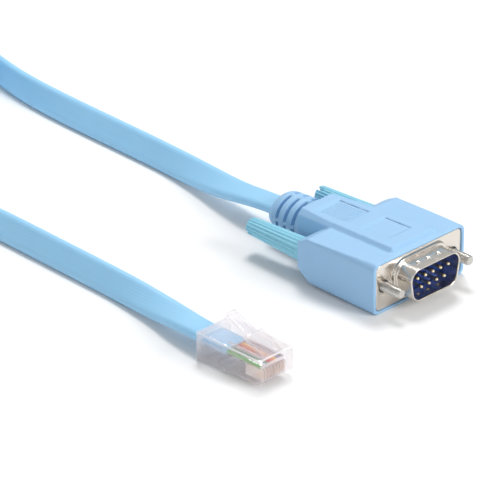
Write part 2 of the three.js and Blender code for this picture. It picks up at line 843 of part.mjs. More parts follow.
/** One contact blade, taller at the front where it meets the socket's wire. */
function contactGeometry() {
  const low = noseRise + contactInset;
  const high = wireCentre - wireDiameter / 2 - wireClearance * 2;
  const back = contactFront + contactLength;
  return prismAlongX(polygon([
    [contactFront + plugEdge, low],
    [back, low + plugEdge],
    [back, high],
    [contactFront + 1, high],
    [contactFront, low + contactNoseHeight],
    [contactFront, low + plugEdge],
  ]), -contactThickness / 2, contactThickness / 2);
}

/** A material by colour, roughness and metalness. */
function finish(color, roughness, metalness = 0) {
  return new THREE.MeshStandardMaterial({ color, roughness, metalness });
}

const hoodBlue = finish(0xa0cdf2, 0.55);
const knobTeal = finish(0x8cc4dc, 0.5);
const nickel = finish(0xc6c6c8, 0.25, 1);
const insulatorBlue = finish(0x1f304e, 0.4);
const pinGold = finish(0xe2cfa0, 0.25, 1);
const cableBlue = finish(0x97c9eb, 0.5);
const clearPlastic = finish(0xe6e4e6, 0.15);
const contactGold = finish(0xd9a860, 0.25, 1);
const tieBlack = finish(0x2b2b2d, 0.7);
const wireColours = [0x4f9e46, 0x9fa3a8, 0x3d6b52, 0xb8322c, 0xd8702a, 0xd9b32e, 0x6f6a96, 0x3f3f46];

/** A named mesh at a place, with an optional turn about X or Z in degrees. */
function part(name, geometry, material, place = [0, 0, 0], turn = [0, 0, 0]) {
  const mesh = new THREE.Mesh(geometry, material);
  mesh.name = name;
  mesh.position.set(...place);
  mesh.rotation.set(...turn.map(radians));
  return mesh;
}

/** The D-sub plug with its thumbscrews. */
function dsubPlug() {
  const plug = new THREE.Group();
  plug.add(
    part("hood", hoodGeometry(), hoodBlue),
    part("front_shell", shellGeometry(), nickel),
    part("pin_insulator", insulatorGeometry(), insulatorBlue),
  );
  pinPlaces().forEach(([x, z], i) => {
    plug.add(part(`pin_${i + 1}`, pinGeometry(), pinGold, [x, 0, z]));
  });
  for (const [side, sign] of [["left", -1], ["right", 1]]) {
    const place = [(sign * screwSpacing) / 2, 0, midHeight];
    plug.add(
      part(`jackscrew_${side}`, jackscrewGeometry(), nickel, place),
      part(`knob_${side}`, knobGeometry(knobSlotAngles[side]), knobTeal, place),
    );
  }
  return plug;
}

/** The modular plug with its contacts, wires and latch. */
function modularPlug() {
  const plug = new THREE.Group();
  plug.position.set(plugX, plugY, 0);
  plug.add(part("plug_housing", plugHousingGeometry(), clearPlastic));
  const root = [
    0,
    latchChannelFront + latchRootSetback + latchRootRadius,
    plugHeight - latchChannelDepth + latchGap + latchRootRadius,
  ];
  plug.add(part("plug_latch", latchGeometry(), clearPlastic, root, [latchRestAngle, 0, 0]));
  const wireBack = plugLength - jacketInPlug - jointGap;
  contactPlaces().forEach((x, i) => {
    const wire = rodAlongY(wireDiameter, wireFront, wireBack, 0, wireCentre, 12);
    plug.add(
      part(`contact_${i + 1}`, contactGeometry(), contactGold, [x, 0, 0]),
      part(`wire_${i + 1}`, wire, finish(wireColours[i % wireColours.length], 0.45), [x, 0, 0]),
    );
  });
  return plug;
}

/** The flat cable: two stretches laid out, the coil between them, and its tie. */
function flatCable() {
  const cable = new THREE.Group();
  const [coilIn, coilOut] = coilShares();
  const coilPlace = [coilCentreX, coilCentreY, 0];
  cable.add(
    part("cable_boot_stretch", cableGeometry(0, coilIn, false), cableBlue),
    part("cable_coil", coilGeometry(), cableBlue, coilPlace),
    part("cable_plug_stretch", cableGeometry(coilOut, 1, true), cableBlue),
    part("coil_tie", tieGeometry(), tieBlack, coilPlace, [0, 0, tieAngle]),
  );
  return cable;
}

const consoleCable = new THREE.Group();
consoleCable.position.y = originShift;
consoleCable.add(dsubPlug(), modularPlug(), flatCable());

export default consoleCable;
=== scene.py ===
"""Looks of a console cable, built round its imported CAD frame.

A D-sub plug in a light blue hood with two thumbscrews, a flat cable and a clear modular plug
lie on a pale floor. The sub-assemblies hold their sizes in millimetres, in the part's own
frame, and their meshes are scaled to metres when they are made.
"""

import json
import logging
import math
from dataclasses import dataclass, field
from enum import Enum
from typing import Callable, Sequence

import bmesh
import bpy
from mathutils import Matrix, Vector

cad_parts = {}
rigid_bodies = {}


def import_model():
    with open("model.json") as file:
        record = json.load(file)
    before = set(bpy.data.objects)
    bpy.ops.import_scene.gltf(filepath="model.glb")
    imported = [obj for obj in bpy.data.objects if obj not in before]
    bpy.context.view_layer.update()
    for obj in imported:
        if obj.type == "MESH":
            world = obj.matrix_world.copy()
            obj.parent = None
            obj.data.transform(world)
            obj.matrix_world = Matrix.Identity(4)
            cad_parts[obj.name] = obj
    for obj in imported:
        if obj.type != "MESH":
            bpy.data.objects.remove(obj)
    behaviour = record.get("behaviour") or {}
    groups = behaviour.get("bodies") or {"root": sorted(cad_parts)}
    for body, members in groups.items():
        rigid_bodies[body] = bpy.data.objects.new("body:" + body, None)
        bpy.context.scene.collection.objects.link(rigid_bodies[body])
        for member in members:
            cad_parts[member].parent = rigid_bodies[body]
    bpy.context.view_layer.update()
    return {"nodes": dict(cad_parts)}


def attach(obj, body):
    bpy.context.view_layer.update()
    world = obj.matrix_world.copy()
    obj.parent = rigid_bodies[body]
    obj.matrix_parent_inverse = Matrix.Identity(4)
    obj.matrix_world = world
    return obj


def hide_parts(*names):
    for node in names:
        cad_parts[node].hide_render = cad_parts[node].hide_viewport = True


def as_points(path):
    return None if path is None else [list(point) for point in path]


# Millimetres to metres.
MM = 0.001
# The hood's front rim and the height of the D-sub plug's axis, in the part's frame.
RIM_Y = -22.9
MIDDLE_Z = 7.105
# The modular plug's middle, and its front face behind the rim.
PLUG_X = -57.2
PLUG_Y = -6.1

Point = tuple[float, float, float]
Flat = tuple[float, float]
Color = tuple[float, float, float]
Setting = str | float | bool | tuple

# The scene object of each CAD node, filled in when the frame is loaded.
FRAME_NODES: dict[str, str] = {}


class Body(Enum):
    """The CAD bodies that pieces ride on."""

    ROOT = "root"
    LEFT_SCREW = "thumbscrew_left"
    RIGHT_SCREW = "thumbscrew_right"
    LATCH = "latch"


class Side(Enum):
    """The sides of the D-sub plug, as in the names of the thumbscrews' nodes."""

    LEFT = "left"
    RIGHT = "right"


class Slot(Enum):
    """The record's material slots."""

    HOOD = "hood_vinyl"
    KNOB = "knob_plastic"
    JACKET = "cable_jacket"
    NICKEL = "nickel_plate"
    INSULATOR = "insulator_plastic"
    PIN = "pin_plate"
    CLEAR = "clear_polycarbonate"
    CONTACT = "contact_gold"
    STRAP = "tie_strap"
    WIRE_GREEN = "wire_green"
    WIRE_GREY = "wire_grey"
    WIRE_DARK_GREEN = "wire_dark_green"
    WIRE_RED = "wire_red"
    WIRE_ORANGE = "wire_orange"
    WIRE_YELLOW = "wire_yellow"
    WIRE_VIOLET = "wire_violet"
    WIRE_BLACK = "wire_black"


def smoothstep(value: float, low: float, high: float) -> float:
    """Rise smoothly from 0 at low to 1 at high.

    Args:
        value: The position between the two limits.
        low: Where the rise starts.
        high: Where it ends.

    Returns:
        The height of the rise, from 0 to 1.
    """
    share = min(1.0, max(0.0, (value - low) / (high - low)))
    return share * share * (3 - 2 * share)


def linear(color: Color) -> tuple[float, float, float, float]:
    """Turn a screen colour into a linear one with full alpha.

    Args:
        color: Red, green and blue from 0 to 255.

    Returns:
        Linear red, green, blue and 1.
    """
    parts = [(part / 255 + 0.055) / 1.055 for part in color]
    return (*[part**2.4 if part > 0.09 else part * 1.055 / 12.92 for part in parts], 1.0)


class Wire:
    """One output socket of a shader, with arithmetic on it."""

    def __init__(self, shader: "Shader", socket: bpy.types.NodeSocket) -> None:
        """Hold a socket and the shader that it belongs to.

        Args:
            shader: The shader whose nodes the arithmetic adds to.
            socket: The output socket.
        """
        self.shader = shader
        self.socket = socket

    def math(self, operation: str, *others: "Wire | float") -> "Wire":
        """Add one Math node.

        Args:
            operation: The node's operation.
            *others: The values after this one.

        Returns:
            The node's result.
        """
        return self.shader.math(operation, self, *others)

    def __add__(self, other: "Wire | float") -> "Wire":
        """Add a value."""
        return self.math("ADD", other)

    __radd__ = __add__

    def __sub__(self, other: "Wire | float") -> "Wire":
        """Take a value away."""
        return self.math("SUBTRACT", other)

    def __rsub__(self, other: float) -> "Wire":
        """Take this away from a value."""
        return self.shader.math("SUBTRACT", other, self)

    def __mul__(self, other: "Wire | float") -> "Wire":
        """Multiply by a value."""
        return self.math("MULTIPLY", other)

    __rmul__ = __mul__

    def __pow__(self, power: float) -> "Wire":
        """Raise to a power."""
        return self.math("POWER", power)

    def wave(self) -> "Wire":
        """Give the sine."""
        return self.math("SINE")

    def size(self) -> "Wire":
        """Give the value without its sign."""
        return self.math("ABSOLUTE")

    def rise(self, low: float, high: float, first: float = 0.0, last: float = 1.0) -> "Wire":
        """Rise smoothly from one height to another.

        Args:
            low: Where the rise starts.
            high: Where it ends.
            first: Its height up to there.
            last: Its height from there on.

        Returns:
            The height of the rise.
        """
        values = {
            "Value": self, "From Min": low, "From Max": high, "To Min": first, "To Max": last,
        }
        node = self.shader.node("ShaderNodeMapRange", {"interpolation_type": "SMOOTHSTEP"}, values)
        return self.shader.wire(node, "Result")


class Shader:
    """The node tree of a material or of the surround, under construction."""

    def __init__(self, owner: bpy.types.Material | bpy.types.World) -> None:
        """Start with an empty node tree.

        Args:
            owner: The material or the world that the tree belongs to.
        """
        owner.use_nodes = True
        self.owner = owner
        self.tree = owner.node_tree
        self.tree.nodes.clear()

    def node(self, kind: str, settings: dict[str, Setting], values: dict) -> bpy.types.Node:
        """Add a node of any kind.

        Args:
            kind: The node's type.
            settings: Its own properties, set first.
            values: Its input sockets by name or number, each a Wire or a constant.

        Returns:
            The new node.
        """
        node = self.tree.nodes.new(kind)
        for name, setting in settings.items():
            setattr(node, name, setting)
        for name, value in values.items():
            if isinstance(value, Wire):
                self.tree.links.new(value.socket, node.inputs[name])
            else:
                node.inputs[name].default_value = value
        return node

    def wire(self, node: bpy.types.Node, name: str | int) -> Wire:
        """Wrap one output of a node."""
        return Wire(self, node.outputs[name])

    def math(self, operation: str, *values: Wire | float) -> Wire:
        """Add one Math node.

        Args:
            operation: The node's operation.
            *values: Its inputs in order.

        Returns:
            The node's result.
        """
        node = self.node("ShaderNodeMath", {"operation": operation}, dict(enumerate(values)))
        return self.wire(node, 0)

    def place(self, kind: str = "Object") -> Wire:
        """Give a point: on the surface, in metres in the part's frame, or of another kind."""
        return self.wire(self.node("ShaderNodeTexCoord", {}, {}), kind)

    def along(self) -> tuple[Wire, Wire]:
        """Read the coordinates laid on the mesh.

        Returns:
            The first and the second of the two.
        """
        node = self.node("ShaderNodeUVMap", {"uv_map": "lay"}, {})
        parts = self.node("ShaderNodeSeparateXYZ", {}, {"Vector": self.wire(node, "UV")})
        return self.wire(parts, "X"), self.wire(parts, "Y")

    def stretched(self, point: Wire, scale: Point) -> Wire:
        """Scale a point by axis.

        Args:
            point: The point.
            scale: The factor along each axis.

        Returns:
            The scaled point.
        """
        node = self.node("ShaderNodeVectorMath", {"operation": "MULTIPLY"}, {0: point, 1: scale})
        return self.wire(node, "Vector")

    def noise(self, point: Wire, size: float, detail: float = 2.0, rough: float = 0.5) -> Wire:
        """Add a noise that is about 0 to 1.

        Args:
            point: Where it is read, in metres.
            size: The size of its features in millimetres.
            detail: Its octaves.
            rough: How much the finer octaves count.

        Returns:
            The noise.
        """
        values = {"Vector": point, "Scale": 1 / (size * MM), "Detail": detail, "Roughness": rough}
        return self.wire(self.node("ShaderNodeTexNoise", {}, values), 0)

    def blend(self, share: Wire | float, first: Wire | tuple, second: Wire | tuple) -> Wire:
        """Blend two colours.

        Args:
            share: 0 for the first, 1 for the second.
            first: A colour.
            second: A colour.

        Returns:
            The blended colour.
        """
        node = self.node("ShaderNodeMix", {"data_type": "RGBA"}, {0: share, 6: first, 7: second})
        return self.wire(node, 2)

    def shade(self, share: Wire, color: tuple, low: float, high: float) -> Wire:
        """Vary a colour between a darker and a lighter tone.

        Args:
            share: 0 for the dark tone, 1 for the light one.
            color: The linear colour.
            low: The factor of the dark tone.
            high: The factor of the light tone.

        Returns:
            The varied colour.
        """
        tones = [tuple(min(1.0, part * factor) for part in color[:3]) for factor in (low, high)]
        return self.blend(share, (*tones[0], 1.0), (*tones[1], 1.0))

    def relief(self, height: Wire) -> Wire:
        """Turn a height in millimetres into a surface normal."""
        values = {"Height": height * MM, "Distance": 1.0, "Strength": 1.0}
        return self.wire(self.node("ShaderNodeBump", {}, values), "Normal")

    def finish(self, values: dict) -> bpy.types.Material:
        """Close the material with one Principled surface.

        Args:
            values: The surface's inputs by name.

        Returns:
            The finished material.
        """
        surface = self.node("ShaderNodeBsdfPrincipled", {}, values)
        self.node("ShaderNodeOutputMaterial", {}, {"Surface": self.wire(surface, "BSDF")})
        return self.owner


@dataclass(frozen=True)
class MouldedPlastic:
    """An opaque moulded plastic with a fine grain and a faintly uneven tone.

    Attributes:
        name: The material's name.
        color: Screen colour.
        roughness: Middle roughness.
        grain: Size of the grain in millimetres.
        depth: Height of the grain in millimetres.
        mottle: How far the tone wanders, as a share.
        softness: How much light goes under the skin.
        gloss: Strength of the mirror-like part.
    """

    name: str
    color: Color
    roughness: float = 0.5
    grain: float = 0.16
    depth: float = 0.004
    mottle: float = 0.035
    softness: float = 0.12
    gloss: float = 0.5

    def height(self, shader: Shader, place: Wire) -> Wire:
        """Give the height of the surface texture in millimetres.

        Args:
            shader: The shader.
            place: The point on the surface.

        Returns:
            The height.
        """
        swell = shader.noise(place, self.grain * 14, 2.0) * (self.depth * 3)
        return shader.noise(place, self.grain, 3.0, 0.6) * self.depth + swell

    def material(self) -> bpy.types.Material:
        """Make the material.

        Returns:
            The new material.
        """
        shader = Shader(bpy.data.materials.new(self.name))
        place = shader.place()
        cloud = shader.noise(place, 5.0, 3.0)
        fleck = shader.noise(place, 0.5, 1.3)
        tone = cloud * 0.7 + fleck * 0.3
        rough = self.roughness + (fleck - 0.5) * 0.16 + (cloud - 0.5) * 0.12
        return shader.finish({
            "Base Color": shader.shade(tone, linear(self.color), 1 - self.mottle, 1 + self.mottle),
            "Roughness": rough,
            "Subsurface Weight": self.softness,
            "Subsurface Radius": (0.5, 0.8, 1.0),
            "Subsurface Scale": 0.0008,
            "Specular IOR Level": self.gloss,
            "Normal": shader.relief(self.height(shader, place)),
        })


@dataclass(frozen=True)
class CableJacket(MouldedPlastic):
    """Extruded vinyl: drawn along the cable, with the cores faintly showing.

    Attributes:
        cores: How many cores lie side by side.
        core_pitch: Their spacing in millimetres.
        core_height: How far they stand out in millimetres.
    """

    cores: int = 8
    core_pitch: float = 0.82
    core_height: float = 0.007

    def height(self, shader: Shader, place: Wire) -> Wire:
        """Give the height of the drawn surface in millimetres.

        Args:
            shader: The shader.
            place: The point on the surface.

        Returns:
            The height.
        """
        length, across = shader.along()
        half = self.cores * self.core_pitch / 2
        field_mask = 1 - across.size().rise(half - 0.3, half + 0.1)
        ridges = (across * (2 * math.pi / self.core_pitch)).wave() * self.core_height * field_mask
        point = shader.node("ShaderNodeCombineXYZ", {}, {"X": length * 0.02, "Y": across, "Z": 0.0})
        drawn = shader.noise(shader.stretched(shader.wire(point, 0), (MM, MM, MM)), 0.3, 3.0)
        return ridges + drawn * self.depth + shader.noise(place, self.grain, 2.0) * self.depth


@dataclass(frozen=True)
class PlatedMetal:
    """A plated metal with fine drawing marks and a little haze.

    Attributes:
        name: The material's name.
        color: Screen colour.
        roughness: Middle roughness.
        marks: Height of the marks in millimetres.
        stretch: How the marks are drawn out along x, y and z.
        haze: How much the tone darkens in patches.
    """

    name: str
    color: Color
    roughness: float = 0.2
    marks: float = 0.002
    stretch: Point = (1.0, 0.2, 1.0)
    haze: float = 0.12

    def material(self) -> bpy.types.Material:
        """Make the material.

        Returns:
            The new material.
        """
        shader = Shader(bpy.data.materials.new(self.name))
        place = shader.place()
        drawn = shader.noise(shader.stretched(place, self.stretch), 0.12, 3.0, 0.6)
        cloud = shader.noise(place, 2.4, 4.0, 0.6)
        return shader.finish({
            "Base Color": shader.shade(cloud, linear(self.color), 1 - self.haze, 1.0),
            "Metallic": 1.0,
            "Roughness": self.roughness + (cloud - 0.5) * 0.16 + (drawn - 0.5) * 0.08,
            "Normal": shader.relief(drawn * self.marks + cloud * self.marks * 2.5),
        })


@dataclass(frozen=True)
class ClearPlastic:
    """Clear moulded polycarbonate that bends the light, with a painted highlight along its rounded
    edges.

    Attributes:
        name: The material's name.
        color: Screen colour.
        roughness: Middle roughness.
        ripple: Height of the flow marks in millimetres.
        body: How much of the face-on surface bends or stops the light.
        rim: How much of it does at a grazing angle.
        edge: How much of it does along the rounded edges, where a near-white highlight is also
            painted.
    """

    name: str
    color: Color
    roughness: float = 0.05
    ripple: float = 0.012
    body: float = 0.17
    rim: float = 0.85
    edge: float = 0.7

    def material(self) -> bpy.types.Material:
        """Make the material.

        Returns:
            The new material.
        """
        shader = Shader(bpy.data.materials.new(self.name))
        place = shader.place()
        cloud = shader.noise(place, 2.2, 3.0)
        facing = shader.wire(shader.node("ShaderNodeLayerWeight", {}, {"Blend": 0.4}), "Facing")
        cover = facing**2.2 * (self.rim - self.body) + self.body + (cloud - 0.5) * 0.1
        # Painted highlight: the marked rounded edges are painted near-white and made more opaque.
        edge = shader.along()[0]
        return shader.finish({
            "Base Color": shader.blend(edge, linear(self.color), (1.0, 0.98, 1.0, 1.0)),
            "Roughness": self.roughness + cloud.rise(0.45, 0.8) * 0.08,
            "IOR": 1.4,
            "Transmission Weight": 0.4,
            "Alpha": cover.math("MAXIMUM", edge * self.edge),
            "Normal": shader.relief(cloud * self.ripple),
        })


@dataclass(frozen=True)
class WovenStrap:
    """A woven strap: over-and-under threads across a dark web.

    Attributes:
        name: The material's name.
        color: Screen colour.
        thread: Thread pitch in millimetres.
        depth: Height of the weave in millimetres.
    """

    name: str
    color: Color
    thread: float = 0.45
    depth: float = 0.05

    def material(self) -> bpy.types.Material:
        """Make the material.

        Returns:
            The new material.
        """
        shader = Shader(bpy.data.materials.new(self.name))
        length, across = shader.along()
        turn = 2 * math.pi / self.thread
        weave = (length * turn).wave() * (across * turn).wave()
        fuzz = shader.noise(shader.place(), 0.15, 3.0)
        tone = weave * 0.35 + fuzz * 0.5 + 0.25
        return shader.finish({
            "Base Color": shader.shade(tone, linear(self.color), 0.55, 1.35),
            "Roughness": fuzz * 0.15 + 0.72,
            "Sheen Weight": 0.3,
            "Normal": shader.relief(weave * self.depth + fuzz * 0.03),
        })


@dataclass(frozen=True)
class PaleFloor:
    """A matt, near-white floor.

    Attributes:
        name: The material's name.
        tone: Its linear brightness.
    """

    name: str = "pale_floor"
    tone: float = 0.87

    def material(self) -> bpy.types.Material:
        """Make the material.

        Returns:
            The new material.
        """
        shader = Shader(bpy.data.materials.new(self.name))
        cloud = shader.noise(shader.place(), 60.0, 2.0)
        white = (self.tone, self.tone, self.tone, 1.0)
        return shader.finish({
            "Base Color": shader.shade(cloud, white, 0.99, 1.0),
            "Roughness": 0.75 + cloud * 0.05,
            "Specular IOR Level": 0.15,
        })


class Skin:
    """Points and faces of a mesh under construction, in millimetres."""

    def __init__(self) -> None:
        """Start an empty skin."""
        self.points: list[Point] = []
        self.faces: list[tuple[int, ...]] = []
        self.lay: list[Flat] = []

    def ring(self, points: Sequence[Point], lay: Sequence[Flat] | None = None) -> list[int]:
        """Add a ring of points.

        Args:
            points: The points.
            lay: Their two coordinates along and across, or nothing.

        Returns:
            Their numbers.
        """
        start = len(self.points)
        self.points.extend(points)
        self.lay.extend(lay if lay is not None else [(0.0, 0.0)] * len(points))
        return list(range(start, len(self.points)))

    def bridge(self, first: list[int], second: list[int]) -> None:
        """Join two closed rings of equal count with quads.

        Args:
            first: The numbers of one ring's points.
            second: The numbers of the other ring's points.
        """
        count = len(first)
        for i in range(count):
            k = (i + 1) % count
            self.faces.append((first[i], first[k], second[k], second[i]))

    def tube(self, rings: Sequence[Sequence[Point]], round_trip: bool = False) -> "Skin":
        """Join rings in a row, capped at both ends or back to the first.

        Args:
            rings: The rings, of equal count.
            round_trip: True to join the last ring to the first.

        Returns:
            This skin.
        """
        rows = [self.ring(ring) for ring in rings]
        for first, second in zip(rows, rows[1:]):
            self.bridge(first, second)
        if round_trip:
            self.bridge(rows[-1], rows[0])
        else:
            self.faces.extend([tuple(reversed(rows[0])), tuple(rows[-1])])
        return self

    def made(self, name: str, crease: float = 35.0) -> bpy.types.Object:
        """Make the object, in metres, with its sharp edges marked.

        Args:
            name: The object's name.
            crease: Edges sharper than this many degrees stay sharp.

        Returns:
            The new object.
        """
        mesh = bpy.data.meshes.new(name)
        scaled = [tuple(part * MM for part in point) for point in self.points]
        mesh.from_pydata(scaled, [], self.faces)
        layer = mesh.uv_layers.new(name="lay")
        for loop in mesh.loops:
            layer.data[loop.index].uv = self.lay[loop.vertex_index]
        piece = bpy.data.objects.new(name, mesh)
        bpy.context.scene.collection.objects.link(piece)
        tidy(piece, crease)
        return piece


def tidy(piece: bpy.types.Object, crease: float) -> None:
    """Turn all faces outward and shade a piece smooth between its sharp edges.

    Args:
        piece: The piece.
        crease: Edges sharper than this many degrees stay sharp.
    """
    form = bmesh.new()
    form.from_mesh(piece.data)
    bmesh.ops.recalc_face_normals(form, faces=form.faces)
    form.to_mesh(piece.data)
    form.free()
    piece.data.shade_smooth()
    piece.data.set_sharp_from_angle(angle=math.radians(crease))


def settle(piece: bpy.types.Object, crease: float) -> None:
    """Turn a piece's modifiers into its mesh.

    Args:
        piece: The piece.
        crease: Edges sharper than this many degrees stay sharp.
    """
    graph = bpy.context.evaluated_depsgraph_get()
    mesh = bpy.data.meshes.new_from_object(piece.evaluated_get(graph))
    piece.modifiers.clear()
    piece.data = mesh
    tidy(piece, crease)


def carve(piece: bpy.types.Object, tool: bpy.types.Object, crease: float) -> None:
    """Cut one piece with another, which is then removed.

    Args:
        piece: The piece that stays.
        tool: The piece that cuts.
        crease: Edges sharper than this many degrees stay sharp.
    """
    modifier = piece.modifiers.new("cut", "BOOLEAN")
    modifier.operation = "DIFFERENCE"
    modifier.solver = "EXACT"
    modifier.object = tool
    settle(piece, crease)
    bpy.data.objects.remove(tool)


def copied(node: str, name: str) -> bpy.types.Object:
    """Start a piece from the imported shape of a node.

    Args:
        node: The CAD node.
        name: The piece's name.

    Returns:
        The new piece, without a material.
    """
    mesh = bpy.data.objects[FRAME_NODES[node]].data.copy()
    mesh.materials.clear()
    piece = bpy.data.objects.new(name, mesh)
    bpy.context.scene.collection.objects.link(piece)
    form = bmesh.new()
    form.from_mesh(mesh)
    bmesh.ops.remove_doubles(form, verts=form.verts, dist=1e-6)
    bmesh.ops.dissolve_limit(
        form, angle_limit=math.radians(0.6), verts=form.verts, edges=form.edges,
    )
    form.to_mesh(mesh)
    form.free()
    return piece


def softened(piece: bpy.types.Object, width: float, crease: float) -> bpy.types.Object:
    """Round a piece's sharp edges.

    Args:
        piece: The piece.
        width: How far the rounding reaches in from an edge, in millimetres.
        crease: Edges sharper than this many degrees are rounded.

    Returns:
        The same piece.
    """
    modifier = piece.modifiers.new("round", "BEVEL")
    modifier.width = width * MM
    modifier.segments = 2
    modifier.limit_method = "ANGLE"
    modifier.angle_limit = math.radians(crease)
    modifier.use_clamp_overlap = True
    settle(piece, crease)
    return piece


def marked_for_painted_highlight(piece: bpy.types.Object, width: float) -> bpy.types.Object:
    """Mark a piece's narrow faces, which are its rounded edges, in the coordinates laid on it, so
    that a highlight is painted on them.

    Args:
        piece: The piece.
        width: Faces with a side shorter than this many millimetres are marked.

    Returns:
        The same piece.
    """
    mesh = piece.data
    layer = mesh.uv_layers.get("lay") or mesh.uv_layers.new(name="lay")
    for face in mesh.polygons:
        spots = [mesh.vertices[number].co for number in face.vertices]
        side = min((a - b).length for a, b in zip(spots, [*spots[1:], spots[0]]))
        # Faces marked 1 get a painted highlight in the clear material.
        highlight_mark = 1.0 if side < width * MM else 0.0
        for loop in face.loop_indices:
            layer.data[loop].uv = (highlight_mark, 0.0)
    return piece


def dressed(
    piece: bpy.types.Object, material: bpy.types.Material, body: Body, slot: Slot, *nodes: str,
) -> bpy.types.Object:
    """Give a piece its material and body, and hide the nodes that it stands for.

    Args:
        piece: The piece.
        material: Its material.
        body: The body that it rides on.
        slot: The record's material slot; not used.
        *nodes: The CAD nodes that it replaces.

    Returns:
        The same piece.
    """
    piece.data.materials.clear()
    piece.data.materials.append(material)
    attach(piece, body.value)
    if nodes:
        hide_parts(*nodes)
    count = sum(len(face.vertices) - 2 for face in piece.data.polygons)
    logging.info("%s rides on %s with %d triangles", piece.name, body.value, count)
    return piece


def arc(centre: Flat, radius: float, start: float, end: float, steps: int) -> list[Flat]:
    """Give points on an arc.

    Args:
        centre: Its middle.
        radius: Its radius.
        start: First angle in degrees.
        end: Last angle in degrees.
        steps: How many pieces it is cut into.

    Returns:
        The points.
    """
    turns = [math.radians(start + (end - start) * i / steps) for i in range(steps + 1)]
    return [(centre[0] + radius * math.cos(t), centre[1] + radius * math.sin(t)) for t in turns]


def evened(outline: Sequence[Flat], pitch: float) -> list[Flat]:
    """Add points to the long sides of a closed outline.

    Args:
        outline: The corners in order.
        pitch: The longest side that is left.

    Returns:
        The outline with shorter sides.
    """
    points = []
    for (a, b), (c, d) in zip(outline, [*outline[1:], outline[0]]):
        pieces = max(1, math.ceil(math.hypot(c - a, d - b) / pitch))
        points.extend((a + (c - a) * i / pieces, b + (d - b) * i / pieces) for i in range(pieces))
    return points


def standing(outline: Sequence[Flat], y: float) -> list[Point]:
    """Stand an (x, z) outline at a distance behind the hood's rim."""
    return [(x, RIM_Y + y, z) for x, z in outline]


def turned(profile: Sequence[Flat], centre: Flat, sides: int) -> list[list[Point]]:
    """Turn a profile about an axis along y.

    Args:
        profile: Radius and y of each point.
        centre: X and z of the axis.
        sides: Points per ring.

    Returns:
        The rings.
    """
    rings = []
    for radius, y in profile:
        outline = arc(centre, max(radius, 0.002), 0, 360 - 360 / sides, sides - 1)
        rings.append(standing(outline, y))
    return rings


@dataclass
class Studio:
    """Floor, lights, surround and camera.

    Attributes:
        azimuth: Camera azimuth in degrees.
        elevation: Camera elevation in degrees.
        distance: From the point looked at to the camera, in millimetres.
        lens: Focal length of the camera.
        target: The point looked at.
        floor: Side of the floor, in metres.
        lamps: Name, place in metres, side in metres and power in watts of each lamp.
    """

    azimuth: float = -45.13
    elevation: float = 27.78
    distance: float = 1272.5
    lens: float = 360.0
    target: Point = (-12.71, 24.14, 0.0)
    floor: float = 6.0
    lamps: tuple[tuple[str, Point, float, float], ...] = (
        ("overhead", (0.36, 0.36, 0.98), 0.36, 7.0),
        ("front", (0.35, -1.0, 0.58), 0.5, 8.4),
        ("side", (-1.0, 0.05, 0.34), 0.5, 1.3),
    )

    def build(self) -> None:
        """Make the camera, the floor, the world and the lights."""
        bpy.context.scene.view_settings.view_transform = "Standard"
        self.camera()
        self.ground()
        self.surround()
        for lamp in self.lamps:
            self.light(*lamp)

    def camera(self) -> None:
        """Make the camera and point it at the target."""
        turn, rise = math.radians(self.azimuth), math.radians(self.elevation)
        back = Vector((
            math.sin(turn) * math.cos(rise), -math.cos(turn) * math.cos(rise), math.sin(rise),
        ))
        data = bpy.data.cameras.new("camera")
        data.lens = self.lens
        data.sensor_width = 36.0
        data.clip_start, data.clip_end = 0.01, 20.0
        camera = bpy.data.objects.new("camera", data)
        camera.location = (Vector(self.target) + back * self.distance) * MM
        camera.rotation_euler = (-back).to_track_quat("-Z", "Y").to_euler()
        bpy.context.scene.collection.objects.link(camera)
        bpy.context.scene.camera = camera

    def ground(self) -> None:
        """Make the floor."""
        half = self.floor / 2
        mesh = bpy.data.meshes.new("floor")
        corners = [(-half, -half, 0), (half, -half, 0), (half, half, 0), (-half, half, 0)]
        mesh.from_pydata(corners, [], [(0, 1, 2, 3)])
        mesh.materials.append(PaleFloor().material())
        floor = bpy.data.objects.new("floor", mesh)
        bpy.context.scene.collection.objects.link(floor)

    def surround(self) -> None:
        """Make a soft surround, bright overhead and grey towards the horizon."""
        shader = Shader(bpy.data.worlds.new("surround"))
        way = shader.node("ShaderNodeSeparateXYZ", {}, {"Vector": shader.place("Generated")})
        strength = shader.wire(way, "Z").rise(0.1, 0.95, 0.46, 0.5)
        values = {"Color": (0.98, 0.99, 1.0, 1.0), "Strength": strength}
        background = shader.node("ShaderNodeBackground", {}, values)
        surface = shader.wire(background, "Background")
        shader.node("ShaderNodeOutputWorld", {}, {"Surface": surface})
        bpy.context.scene.world = shader.owner

    def light(self, name: str, place: Point, size: float, power: float) -> None:
        """Make one soft area light that faces the object.

        Args:
            name: Its name.
            place: Where it stands, in metres.
            size: Its side, in metres.
            power: Its power in watts.
        """
        data = bpy.data.lights.new(name, "AREA")
        data.shape = "SQUARE"
        data.size = size
        data.energy = power
        lamp = bpy.data.objects.new(name, data)
        lamp.location = place
        aim = Vector((0.0, 0.0, 0.0)) - Vector(place)
        lamp.rotation_euler = aim.to_track_quat("-Z", "Y").to_euler()
        bpy.context.scene.collection.objects.link(lamp)


